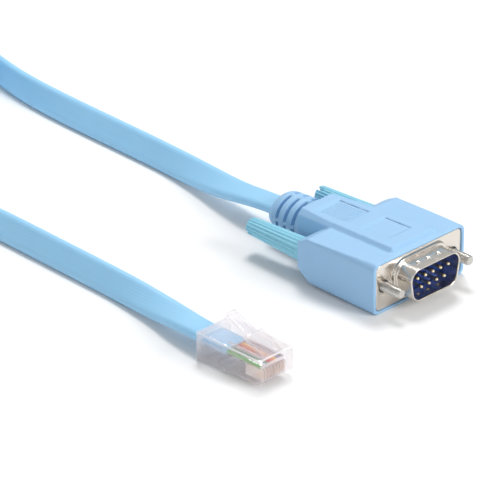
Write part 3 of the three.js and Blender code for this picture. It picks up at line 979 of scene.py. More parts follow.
@dataclass
class FlatCable:
    """The flat cable: laid out, twisted on edge, coiled and tied.

    Attributes:
        width: Width of the jacket.
        thickness: Thickness of the jacket.
        real_length: Length from plug to plug.
        mid_height: Height of the D-sub plug's middle.
        boot_end: Where the boot ends.
        boot_pocket: How far the cable goes into the boot.
        gap: Clearance at its ends.
        laid_roll: How far the laid-out cable leans.
        boot_twist: Where it leans over behind the boot.
        boot_coil_twist: Where it comes on edge before the coil.
        plug_twist: Where it leans over behind the plug.
        plug_coil_twist: Where it comes on edge after the coil.
        coil_x: X of the coil's middle.
        coil_y: Y of the coil's middle.
        coil_radius: Radius of the outer turn.
        turn_pitch: Spacing of the turns.
        start_angle: Where the cable joins the coil.
        leave_angle: Where it leaves.
        whole_turns: Whole turns of the coil.
        step_turn: Share of a turn in which it climbs to the upper layer.
        layer_gap: Clearance between the layers.
        per_turn: Route points in each turn.
        tie_angle: Where the tie stands.
        tie_width: Its width.
        tie_thickness: Its thickness.
        plug_x: X of the modular plug.
        plug_y: Y of its front face.
        plug_length: Its length.
        jacket_in_plug: How far the jacket goes into it.
        jacket_height: Height of the jacket's middle in it.
        boot_lead: Route from the boot: x, y and the gap below the cable.
        plug_lead: Route to the plug.
        jacket: The jacket's finish.
        strap: The tie's finish.
    """

    width: float = 7.6
    thickness: float = 2.5
    real_length: float = 1800.0
    mid_height: float = MIDDLE_Z
    boot_end: float = 51.5
    boot_pocket: float = 4.0
    gap: float = 0.3
    laid_roll: float = 54.0
    boot_twist: Flat = (51.0, 98.0)
    boot_coil_twist: Flat = (120.0, 182.0)
    plug_twist: Flat = (16.0, 58.0)
    plug_coil_twist: Flat = (105.0, 178.0)
    coil_x: float = -27.0
    coil_y: float = 206.0
    coil_radius: float = 45.6
    turn_pitch: float = 2.95
    start_angle: float = -20.0
    leave_angle: float = 200.0
    whole_turns: int = 5
    step_turn: float = 0.25
    layer_gap: float = 0.3
    per_turn: int = 24
    tie_angle: float = 75.0
    tie_width: float = 8.0
    tie_thickness: float = 0.5
    plug_x: float = PLUG_X
    plug_y: float = PLUG_Y
    plug_length: float = 21.46
    jacket_in_plug: float = 8.4
    jacket_height: float = 4.6
    boot_lead: list[Point] = field(default_factory=lambda: [
        (-0.1, 56, 5.45), (0.2, 62, 4.4), (1.2, 70, 2.7), (2.7, 80, 1.05), (3.7, 90, 0.2),
        (4.2, 100, 0.05), (4.5, 110, 0.05), (4.8, 121, 0.05), (5.0, 132, 0.05),
        (5.4, 143, 0.1), (6.4, 154, 0.2), (8.6, 165, 0.35), (11.8, 177, 0.55),
    ])
    plug_lead: list[Point] = field(default_factory=lambda: [
        (-66.2, 178, 6.9), (-62.0, 165, 5.2), (-58.6, 152, 3.1), (-56.0, 139, 1.4),
        (-54.2, 126, 0.5), (-53.0, 113, 0.1), (-52.4, 100, 0.05), (-52.6, 87, 0.05),
        (-53.0, 74, 0.05), (-53.4, 61, 0.05), (-53.9, 48, 0.2), (-54.9, 36, 1.15),
        (-56.4, 26, 2.7),
    ])
    jacket: CableJacket = CableJacket("jacket_vinyl", (148, 201, 235), roughness=0.42, depth=0.003)
    strap: WovenStrap = WovenStrap("strap_weave", (44, 44, 48))

    @property
    def turns(self) -> float:
        """Turns of the coil in all."""
        return self.whole_turns + (self.leave_angle - self.start_angle) / 360

    @property
    def layer_turns(self) -> float:
        """Turns in one layer."""
        return (self.turns - self.step_turn) / 2

    def roll(self, y: float, homeward: bool) -> float:
        """Give the cable's roll about its own line.

        Args:
            y: Distance behind the hood's rim.
            homeward: True on the stretch to the modular plug.

        Returns:
            The roll in degrees.
        """
        rest = 90 - self.laid_roll
        if homeward:
            lean = self.laid_roll * smoothstep(y, *self.plug_twist)
            return 180 - lean - rest * smoothstep(y, *self.plug_coil_twist)
        lean = self.laid_roll * smoothstep(y, *self.boot_twist)
        return lean + rest * smoothstep(y, *self.boot_coil_twist)

    def laid(self, lead: Sequence[Point], homeward: bool) -> list[Vector]:
        """Give the middle line of a laid-out stretch.

        Args:
            lead: X, y and gap of its points.
            homeward: True on the stretch to the modular plug.

        Returns:
            Its points.
        """
        points = []
        for x, y, gap in lead:
            tilt = abs(math.sin(math.radians(self.roll(y, homeward))))
            rest = (self.width - self.thickness) / 2 * tilt + self.thickness / 2
            points.append(Vector((x, y, gap + rest)))
        return points

    def coil(self) -> list[Vector]:
        """Give the middle line of the coil.

        Returns:
            Its points.
        """
        low = self.tie_thickness + self.gap + self.width / 2
        climb = self.width + self.layer_gap
        count = round(self.turns * self.per_turn)
        points = []
        for i in range(count + 1):
            turn = self.turns * i / count
            inward = min(turn, self.layer_turns)
            outward = max(turn - self.layer_turns - self.step_turn, 0.0)
            radius = self.coil_radius - self.turn_pitch * (inward - outward)
            angle = math.radians(self.start_angle + 360 * turn)
            step = smoothstep(turn, self.layer_turns, self.layer_turns + self.step_turn)
            points.append(Vector((
                self.coil_x + radius * math.cos(angle),
                self.coil_y + radius * math.sin(angle),
                low + climb * step,
            )))
        return points

    def route(self) -> tuple[list[Vector], int, int]:
        """Give the whole route.

        Returns:
            Its points, the number of the coil's first one and of its last one.
        """
        start = self.boot_end - self.boot_pocket + self.gap
        back = self.plug_y + self.plug_length
        before = [
            Vector((0, start, self.mid_height)), Vector((0, self.boot_end - 1, self.mid_height)),
            *self.laid(self.boot_lead, False),
        ]
        coil = self.coil()
        after = [
            *self.laid(self.plug_lead, True),
            Vector((self.plug_x, back + 1, self.jacket_height)),
            Vector((self.plug_x, back - self.jacket_in_plug / 2, self.jacket_height)),
            Vector((self.plug_x, back - self.jacket_in_plug, self.jacket_height)),
        ]
        return [*before, *coil, *after], len(before), len(before) + len(coil) - 1

    @staticmethod
    def curve(points: Sequence[Vector], parts: Callable[[int], int]) -> list[tuple[Vector, int]]:
        """Run a centripetal curve through points.

        Args:
            points: The points.
            parts: How many pieces the curve has after a point of that number.

        Returns:
            Points on the curve, each with the number of the route point before it.
        """
        found = []
        for i in range(len(points) - 1):
            p1, p2 = points[i], points[i + 1]
            p0 = points[i - 1] if i else 2 * p1 - p2
            p3 = points[i + 2] if i + 2 < len(points) else 2 * p2 - p1
            d0, d1, d2 = ((b - a).length**0.5 for a, b in ((p0, p1), (p1, p2), (p2, p3)))
            m1 = ((p1 - p0) / d0 - (p2 - p0) / (d0 + d1) + (p2 - p1) / d1) * d1
            m2 = ((p2 - p1) / d1 - (p3 - p1) / (d1 + d2) + (p3 - p2) / d2) * d1
            count = parts(i)
            for k in range(count):
                t = k / count
                bend = (-3 * p1 + 3 * p2 - 2 * m1 - m2) * t**2 + (2 * p1 - 2 * p2 + m1 + m2) * t**3
                found.append((p1 + m1 * t + bend, i))
        found.append((points[-1], len(points) - 1))
        return found

    def section(self) -> list[Flat]:
        """Give the jacket's section, with round edges.

        Returns:
            Its points, across and through.
        """
        radius = self.thickness / 2
        half = self.width / 2 - radius
        flat = 7
        run = [(-half + 2 * half * i / flat) for i in range(1, flat)]
        right = arc((half, 0.0), radius, -90, 90, 6)
        left = arc((-half, 0.0), radius, 90, 270, 6)
        return [*right, *[(x, radius) for x in reversed(run)], *left, *[(x, -radius) for x in run]]

    def ribbon(self) -> tuple[bpy.types.Object, list[Point]]:
        """Make the cable as one ribbon.

        Returns:
            The piece and the line that it follows, in metres.
        """
        points, first, last = self.route()
        line = self.curve(points, lambda i: 6 if first <= i < last else 12)
        spots = [point + Vector((0, RIM_Y, 0)) for point, _ in line]
        section = self.section()
        skin = Skin()
        rows = []
        length = 0.0
        for i, spot in enumerate(spots):
            ahead, behind = spots[min(i + 1, len(spots) - 1)], spots[max(i - 1, 0)]
            tangent = (ahead - behind).normalized()
            left = Vector((0, 0, 1)).cross(tangent).normalized()
            rise = tangent.cross(left)
            number = line[i][1]
            roll = 90.0
            if number < first or number >= last:
                roll = self.roll(line[i][0].y, number >= last)
            turn = math.radians(roll)
            face = rise * math.cos(turn) + left * math.sin(turn)
            side = face.cross(tangent)
            length += (spot - spots[i - 1]).length if i else 0.0
            rows.append(skin.ring(
                [tuple(spot + side * a + face * b) for a, b in section],
                [(length, a) for a, _ in section],
            ))
        for before, after in zip(rows, rows[1:]):
            skin.bridge(before, after)
        skin.faces.extend([tuple(reversed(rows[0])), tuple(rows[-1])])
        logging.info("the cable is %.1f mm long", length)
        return skin.made("flat_cable", 60.0), [tuple(spot * MM) for spot in spots]

    def strap_outline(self, inset: float) -> list[Flat]:
        """Give the outline of the tie round the coil's section.

        Args:
            inset: Its distance outside the space that the coil takes.

        Returns:
            The outline, outward from the coil's middle and up.
        """
        outer = self.coil_radius + self.thickness / 2
        inner = self.coil_radius - self.turn_pitch * self.layer_turns - self.thickness / 2
        sag = inner - math.sqrt(inner**2 - (self.tie_width / 2) ** 2)
        low, high = inner - sag - self.gap, outer + self.gap
        height = 2 * self.width + self.layer_gap + 2 * self.gap
        floor = self.tie_thickness
        radius = 0.3 + inset
        a0, a1 = low - inset + radius, high + inset - radius
        b0, b1 = floor - inset + radius, floor + height + inset - radius
        corners = [
            *arc((a1, b1), radius, 0, 90, 5), *arc((a0, b1), radius, 90, 180, 5),
            *arc((a0, b0), radius, 180, 270, 5), *arc((a1, b0), radius, 270, 360, 5),
        ]
        return evened(corners, 1.0)

    def tie(self) -> bpy.types.Object:
        """Make the woven tie round the coil.

        Returns:
            The piece.
        """
        inside = self.strap_outline(0.02)
        outside = self.strap_outline(self.tie_thickness - 0.02)
        turn = Matrix.Rotation(math.radians(self.tie_angle), 3, "Z")
        middle = Vector((self.coil_x, self.coil_y + RIM_Y, 0))
        edge, bevel = self.tie_width / 2, 0.15
        shape = [
            (bevel, -edge), (0.0, bevel - edge), (0.0, edge - bevel), (bevel, edge),
            (1 - bevel, edge), (1.0, edge - bevel), (1.0, bevel - edge), (1 - bevel, -edge),
        ]
        count = min(len(inside), len(outside))
        skin = Skin()
        rows = []
        for i in range(count):
            a, b = Vector(inside[i]), Vector(outside[round(i * (len(outside) - 1) / (count - 1))])
            ring = []
            for share, side in shape:
                reach, up = a.lerp(b, share)
                ring.append(tuple(middle + turn @ Vector((reach, side, up))))
            rows.append(skin.ring(ring, [(float(i), side) for _, side in shape]))
        for before, after in zip(rows, [*rows[1:], rows[0]]):
            skin.bridge(before, after)
        return skin.made("woven_tie", 40.0)

    def build(self) -> tuple[bpy.types.Object, bpy.types.Object, list[Point]]:
        """Make and dress the cable and its tie.

        Returns:
            The cable, the tie, and the line that the cable follows, in metres.
        """
        ribbon, line = self.ribbon()
        dressed(ribbon, self.jacket.material(), Body.ROOT, Slot.JACKET,
                "cable_boot_stretch", "cable_coil", "cable_plug_stretch")
        tie = dressed(self.tie(), self.strap.material(), Body.ROOT, Slot.STRAP, "coil_tie")
        return ribbon, tie, line

    def declare(
        self, ribbon: bpy.types.Object, line: list[Point], leave_y: float,
        riders: list[bpy.types.Object],
    ) -> None:
        """Args:
            ribbon: The cable; not used.
            line: The line that it follows, in metres.
            leave_y: Where it comes out of the boot; not used.
            riders: The pieces that lie on it; not used.
        """
        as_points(line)


@dataclass
class Hood:
    """The moulded hood: block, spine, neck, boot and its panels.

    Attributes:
        voxel: Cell size of the remeshed skin.
        rounds: Smoothing rounds that soften the moulding's edges.
        height: Height of the front.
        draft: Fall of the top for each millimetre.
        spine_rise: Rise of the spine over the block.
        grip_front: Where the grip panel starts.
        grip_length: Its length.
        grip_width: Its width.
        panel_depth: How deep the panel lies.
        label_front: Where the label panel starts.
        label_length: Its length.
        label_width: Its width.
        seam_width: Width of the seam along a panel's far edge.
        seam_depth: Its depth.
        dot_pitch: Spacing of the grip's dots.
        dot_radius: Radius of a dot.
        dot_height: Height of a dot.
        middle: Height of the boot's axis.
        boot_front: Where the boot starts.
        boot_end: Where it ends.
        nose_length: Length of its round nose.
        boot_size: Its width and height at the front.
        shoulder_size: Its width and height at the nose.
        nose_size: Its width and height at the cable.
        first_slot: Middle of the first slot.
        slot_pitch: Spacing of the slots.
        slot_width: Their width.
        slot_depth: Their depth.
        top_bridge: Half the angle of the bridge on top.
        vinyl: The finish.
    """

    voxel: float = 0.23
    rounds: int = 5
    height: float = 14.21
    draft: float = 0.045
    spine_rise: float = 1.1
    grip_front: float = 21.3
    grip_length: float = 10.7
    grip_width: float = 8.6
    panel_depth: float = 0.35
    label_front: float = 6.9
    label_length: float = 9.3
    label_width: float = 9.0
    seam_width: float = 0.3
    seam_depth: float = 0.4
    dot_pitch: float = 0.82
    dot_radius: float = 0.27
    dot_height: float = 0.14
    middle: float = MIDDLE_Z
    boot_front: float = 37.95
    boot_end: float = 48.1
    nose_length: float = 2.9
    boot_size: Flat = (12.84, 11.24)
    shoulder_size: Flat = (12.0, 10.5)
    nose_size: Flat = (8.8, 4.6)
    first_slot: float = 38.3
    slot_pitch: float = 2.95
    slot_width: float = 0.85
    slot_depth: float = 1.5
    top_bridge: float = 6.0
    vinyl: MouldedPlastic = MouldedPlastic("hood_vinyl", (149, 190, 225), roughness=0.5)

    def build(self) -> None:
        """Make and dress the moulding, the boot and the grip's dots."""
        vinyl = self.vinyl.material()
        dressed(self.moulding(), vinyl, Body.ROOT, Slot.HOOD, "hood")
        dressed(self.boot(), vinyl, Body.ROOT, Slot.HOOD, "hood")
        dressed(self.dots(), vinyl, Body.ROOT, Slot.HOOD)

    def panel_floor(self, y: float) -> float:
        """Give the height of a panel's floor at a distance behind the rim."""
        return self.height - self.draft * y + self.spine_rise - self.panel_depth

    def moulding(self) -> bpy.types.Object:
        """Make the moulding in front of the boot, with softened edges.

        Returns:
            The piece.
        """
        piece = copied("hood", "hood_moulding")
        form = bmesh.new()
        form.from_mesh(piece.data)
        parts = [*form.verts, *form.edges, *form.faces]
        plane = Vector((0, (RIM_Y + self.boot_front) * MM, 0))
        cut = bmesh.ops.bisect_plane(
            form, geom=parts, plane_co=plane, plane_no=(0, 1, 0), clear_outer=True,
        )
        rim = [part for part in cut["geom_cut"] if isinstance(part, bmesh.types.BMEdge)]
        bmesh.ops.contextual_create(form, geom=rim)
        form.to_mesh(piece.data)
        form.free()
        remesh = piece.modifiers.new("skin", "REMESH")
        remesh.mode = "VOXEL"
        remesh.voxel_size = self.voxel * MM
        remesh.use_smooth_shade = True
        smooth = piece.modifiers.new("soften", "SMOOTH")
        smooth.factor = 0.5
        smooth.iterations = self.rounds
        settle(piece, 70.0)
        for front, length, width in (
            (self.label_front, self.label_length, self.label_width),
            (self.grip_front, self.grip_length, self.grip_width),
        ):
            rings = []
            for y in (front + 0.1, front + length - 0.1):
                floor = self.panel_floor(y)
                left, right = width / 2 - self.seam_width, width / 2 + 0.05
                low, high = floor - self.seam_depth, floor + 0.12
                rings.append(standing([(left, low), (right, low), (right, high), (left, high)], y))
            carve(piece, Skin().tube(rings).made("seam"), 70.0)
        return piece

    def boot(self) -> bpy.types.Object:
        """Make the boot: an oval taper with slots, and a round nose.

        Returns:
            The piece.
        """
        sides = 144
        nose = self.boot_end - self.nose_length
        levels = [self.boot_front + 0.1 * i for i in range(int((nose - self.boot_front) * 10) + 1)]
        levels += [nose + self.nose_length * math.sin(math.pi / 2 * i / 12) for i in range(1, 13)]
        rings = []
        for y in levels:
            taper = min(1.0, (y - self.boot_front) / (nose - self.boot_front))
            size = [a + (b - a) * taper for a, b in zip(self.boot_size, self.shoulder_size)]
            if y > nose:
                share = math.sqrt(max(0.0, 1 - ((y - nose) / self.nose_length) ** 2))
                size = [b + (a - b) * share for a, b in zip(size, self.nose_size)]
            ring = []
            for k in range(sides):
                angle = 360 * k / sides
                depth = self.slot_depth * self.slot_span(angle) * self.slot_wave(y)
                turn = math.radians(angle)
                ring.append((
                    (size[0] / 2 - depth) * math.sin(turn), RIM_Y + y,
                    self.middle + (size[1] / 2 - depth) * math.cos(turn),
                ))
            rings.append(ring)
        return Skin().tube(rings).made("boot", 45.0)

    def slot_span(self, angle: float) -> float:
        """Give 1 where a slot runs round the boot and 0 on the bridges between.

        Args:
            angle: Angle from the top in degrees.

        Returns:
            The share of the slot's depth.
        """
        away = abs((angle + 180) % 360 - 180)
        side = abs(away - 90)
        pole = min(away, 180 - away)
        return smoothstep(pole, self.top_bridge, self.top_bridge + 6) * smoothstep(side, 4, 8)

    def slot_wave(self, y: float) -> float:
        """Give 1 in the middle of a slot, and a slight swell between two slots."""
        nearest = min(abs(y - self.first_slot - i * self.slot_pitch) for i in range(3))
        return 1 - smoothstep(nearest, self.slot_width / 2 - 0.14, self.slot_width / 2 + 0.16)

    def dots(self) -> bpy.types.Object:
        """Make the grid of raised dots on the grip panel.

        Returns:
            The piece.
        """
        steps = ((1.0, -0.1), (1.0, 0.0), (0.85, 0.55), (0.5, 0.9), (0.05, 1.0))
        skin = Skin()
        rows = int((self.grip_length - 1.2) / self.dot_pitch)
        columns = int((self.grip_width - 1.0) / self.dot_pitch)
        for i in range(rows):
            for k in range(columns):
                y = self.grip_front + self.grip_length / 2 + (i - (rows - 1) / 2) * self.dot_pitch
                x = (k - (columns - 1) / 2) * self.dot_pitch
                floor = self.panel_floor(y)
                rings = []
                for share, lift in steps:
                    outline = arc((x, RIM_Y + y), self.dot_radius * share, 0, 315, 7)
                    rings.append([(a, b, floor + self.dot_height * lift) for a, b in outline])
                skin.tube(rings)
        return skin.made("grip_dots", 60.0)


@dataclass
class FrontShell:
    """The plated front: flange, plinth and dimpled shroud.

    Attributes:
        width: Flange width.
        height: Flange height.
        thickness: Flange thickness.
        corner: Flange corner radius.
        face: Y of the flange's front.
        middle: Height of the plug's middle.
        mouth_width: Inside width of the shroud.
        mouth_height: Its inside height.
        mouth_corner: Its corner radius.
        slant: Slant of its sides in degrees.
        wall: Its wall.
        projection: How far it stands out from the flange.
        plinth_rise: How far the plinth stands out.
        plinth_border: How wide the plinth is round the shroud.
        screw_spacing: Distance between the screws.
        hole: Diameter of the screw holes.
        dimple_radius: Radius of a dimple.
        dimple_depth: Its depth.
        dimple_y: Where the dimples are.
        dimples: X of the dimples along the wall.
        fillet: Radius where the shroud meets the plinth.
        shoulder: Radius of the plinth's edge.
        nickel: The finish.
    """

    width: float = 30.81
    height: float = 12.55
    thickness: float = 0.9
    corner: float = 1.5
    face: float = 0.3
    middle: float = MIDDLE_Z
    mouth_width: float = 16.92
    mouth_height: float = 8.36
    mouth_corner: float = 2.6
    slant: float = 10.0
    wall: float = 0.45
    projection: float = 5.9
    plinth_rise: float = 0.9
    plinth_border: float = 1.0
    screw_spacing: float = 24.99
    hole: float = 3.3
    dimple_radius: float = 0.7
    dimple_depth: float = 0.4
    dimple_y: float = -3.0
    dimples: tuple[float, ...] = (-3.8, -0.2, 3.4)
    fillet: float = 0.35
    shoulder: float = 0.4
    nickel: PlatedMetal = PlatedMetal(
        "nickel", (228, 221, 212), roughness=0.23, marks=0.0012, haze=0.09,
    )

    def build(self) -> None:
        """Make and dress the flange and the shroud."""
        nickel = self.nickel.material()
        dressed(self.plate(), nickel, Body.ROOT, Slot.NICKEL, "front_shell")
        dressed(self.shroud(), nickel, Body.ROOT, Slot.NICKEL, "front_shell")

    def outline(self, growth: float, pitch: float, steps: int = 8) -> list[Flat]:
        """Give the D outline of the mouth.

        Args:
            growth: How far it is grown outward.
            pitch: The longest side that is left.
            steps: Pieces in each corner.

        Returns:
            The outline.
        """
        rise = self.mouth_height / 2 - self.mouth_corner
        top = self.mouth_width / 2 - self.mouth_corner
        bottom = top - 2 * rise * math.tan(math.radians(self.slant))
        radius = self.mouth_corner + growth
        up, down = self.middle + rise, self.middle - rise
        corners = [
            ((top, up), -self.slant, 90), ((-top, up), 90, 180 + self.slant),
            ((-bottom, down), 180 + self.slant, 270), ((bottom, down), -90, -self.slant),
        ]
        loops = [arc(centre, radius, start, end, steps) for centre, start, end in corners]
        points = []
        for i, loop in enumerate(loops):
            following = loops[(i + 1) % 4][0]
            points.extend(loop)
            base, after = corners[i][0], corners[(i + 1) % 4][0]
            span = math.hypot(after[0] - base[0], after[1] - base[1])
            count = max(1, math.ceil(span / pitch))
            a, b = loop[-1], following
            points.extend(
                (a[0] + (b[0] - a[0]) * k / count, a[1] + (b[1] - a[1]) * k / count)
                for k in range(1, count)
            )
        return points

    def dent(self, x: float, y: float, z: float) -> float:
        """Give how deep the shroud is dented at a point.

        Args:
            x: X of the point.
            y: Its distance behind the rim.
            z: Its height.

        Returns:
            The depth.
        """
        if abs(z - self.middle) < self.mouth_height / 2 - 0.1:
            return 0.0
        reach = min(math.hypot(x - spot, y - self.dimple_y) for spot in self.dimples)
        return self.dimple_depth * (1 - smoothstep(reach, 0.1, self.dimple_radius))

    def profile(self) -> list[Flat]:
        """Give the shell's section from its back, through the mouth and over the lip to the flange.

        Returns:
            Growth of the outline and y of each point.
        """
        mouth = self.face - self.projection
        plinth = self.face - self.plinth_rise
        wall, fillet, shoulder = self.wall, self.fillet, self.shoulder
        back = self.face + self.thickness
        edge = wall + self.plinth_border
        quarter = math.pi / 2
        inner = [(0.0, back - 0.05 + (mouth + 0.2 - back) * i / 24) for i in range(25)]
        lip = [
            (0.03, mouth + 0.1), (0.12, mouth + 0.02), (wall / 2, mouth),
            (wall - 0.12, mouth + 0.02), (wall - 0.03, mouth + 0.1),
        ]
        outer = [(wall, mouth + 0.2 + (plinth - 0.55 - mouth) * i / 24) for i in range(25)]
        hollow = [
            (wall + fillet * (1 - math.cos(t)), plinth - fillet + fillet * math.sin(t))
            for t in (0.3, 0.6, 0.9, 1.2, quarter)
        ]
        rounding = [
            (edge - shoulder + shoulder * math.sin(t), plinth + shoulder * (1 - math.cos(t)))
            for t in (0.0, 0.4, 0.8, 1.2, quarter)
        ]
        foot = [
            (edge, self.face - 0.2), (edge + 0.06, self.face - 0.06),
            (edge + 0.2, self.face + 0.01),
        ]
        hidden = [(edge + 0.2, self.face + 0.4), (0.3, back - 0.05)]
        return [*inner, *lip, *outer, *hollow, *rounding, *foot, *hidden]

    def shroud(self) -> bpy.types.Object:
        """Make the shroud and the plinth in one skin.

        Returns:
            The piece.
        """
        rings = []
        for growth, y in self.profile():
            ring = []
            for x, z in self.outline(growth, 0.16):
                depth = self.dent(x, y, z) * (1 if z > self.middle else -1)
                ring.append((x, RIM_Y + y, z - depth))
            rings.append(ring)
        return Skin().tube(rings, round_trip=True).made("shroud", 50.0)

    def plate(self) -> bpy.types.Object:
        """Make the flange with its two screw holes and the opening behind the shroud.

        Returns:
            The piece.
        """
        a, b = self.width / 2 - self.corner, self.height / 2 - self.corner
        rings = []
        back = self.face + self.thickness
        for inset, y in (
            (0.12, self.face), (0.03, self.face + 0.04), (0.0, self.face + 0.14),
            (0.0, back - 0.1), (0.1, back),
        ):
            radius = self.corner - inset
            loop = [
                *arc((a, self.middle + b), radius, 0, 90, 8),
                *arc((-a, self.middle + b), radius, 90, 180, 8),
                *arc((-a, self.middle - b), radius, 180, 270, 8),
                *arc((a, self.middle - b), radius, 270, 360, 8),
            ]
            rings.append(standing(loop, y))
        piece = Skin().tube(rings).made("flange", 50.0)
        opening = Skin().tube([standing(self.outline(0.3, 1.0), y) for y in (-2, back + 2)])
        carve(piece, opening.made("opening"), 50.0)
        half, radius = self.screw_spacing / 2, self.hole / 2
        profile = [
            (radius + 0.25, self.face - 1), (radius + 0.25, self.face),
            (radius + 0.05, self.face + 0.1), (radius, self.face + 0.25), (radius, back + 1),
        ]
        for x in (-half, half):
            drill = Skin().tube(turned(profile, (x, self.middle), 40)).made("drill")
            carve(piece, drill, 50.0)
        return piece


@dataclass
class PinField:
    """The insulator and its nine pins.

    Attributes:
        pitch: Spacing along a row.
        row_pitch: Spacing of the rows.
        diameter: Pin diameter.
        tip: Y of the pin tips.
        face: Y of the insulator's face.
        back: Y of its back.
        root: How deep the pins stand in it.
        clearance: Gap between it and the shroud.
        nose: Length of a pin's round nose.
        middle: Height between the two rows.
        resin: The insulator's finish.
        plating: The pins' finish.
    """

    pitch: float = 2.77
    row_pitch: float = 2.84
    diameter: float = 1.02
    tip: float = -5.0
    face: float = -0.4
    back: float = 7.2
    root: float = 5.0
    clearance: float = 0.12
    nose: float = 0.75
    middle: float = MIDDLE_Z
    resin: MouldedPlastic = MouldedPlastic(
        "insulator_resin", (12, 54, 136), roughness=0.3, gloss=0.35, softness=0.0,
    )
    plating: PlatedMetal = PlatedMetal(
        "pin_plating", (240, 226, 190), roughness=0.16, stretch=(1.0, 1.0, 1.0),
    )

    def build(self, shell: FrontShell) -> None:
        """Make and dress the insulator and the pins.

        Args:
            shell: The shell that the insulator fills.
        """
        resin, plating = self.resin.material(), self.plating.material()
        nodes = [f"pin_{number}" for number in range(1, len(self.places()) + 1)]
        dressed(self.insulator(shell), resin, Body.ROOT, Slot.INSULATOR, "pin_insulator")
        dressed(self.pins(), plating, Body.ROOT, Slot.PIN, *nodes)

    def places(self) -> list[Flat]:
        """Give the places of the pins, upper row first.

        Returns:
            X and z of each pin.
        """
        spots = []
        for count, side in ((5, 1), (4, -1)):
            z = self.middle + side * self.row_pitch / 2
            spots.extend(((i - (count - 1) / 2) * self.pitch, z) for i in range(count))
        return spots

    def insulator(self, shell: FrontShell) -> bpy.types.Object:
        """Make the insulator with a countersunk hole for each pin.

        Args:
            shell: The shell that it fills.

        Returns:
            The piece.
        """
        gap, face = self.clearance, self.face
        levels = (
            (gap + 0.5, face + 0.12), (gap + 0.25, face), (gap + 0.06, face + 0.06),
            (gap, face + 0.2), (gap, self.back - 0.2), (gap + 0.2, self.back),
        )
        rings = [standing(shell.outline(-growth, 1.0), y) for growth, y in levels]
        piece = Skin().tube(rings).made("insulator", 40.0)
        bore = self.diameter / 2 + 0.05
        profile = [
            (0.85, face - 0.5), (0.85, face + 0.1), (0.66, face + 0.32), (bore, face + 0.42),
            (bore, face + self.root + 0.3),
        ]
        tools = Skin()
        for centre in self.places():
            tools.tube(turned(profile, centre, 24))
        carve(piece, tools.made("countersinks"), 40.0)
        return piece

    def pins(self) -> bpy.types.Object:
        """Make the nine round-nosed pins.

        Returns:
            The piece.
        """
        radius = self.diameter / 2
        profile = [
            (radius * math.sin(t), self.tip + self.nose * (1 - math.cos(t)))
            for t in (math.pi / 2 * i / 8 for i in range(9))
        ]
        profile += [(radius, self.face + self.root * 0.3), (radius, self.face + self.root)]
        skin = Skin()
        for centre in self.places():
            skin.tube(turned(profile, centre, 28))
        return skin.made("pins", 50.0)


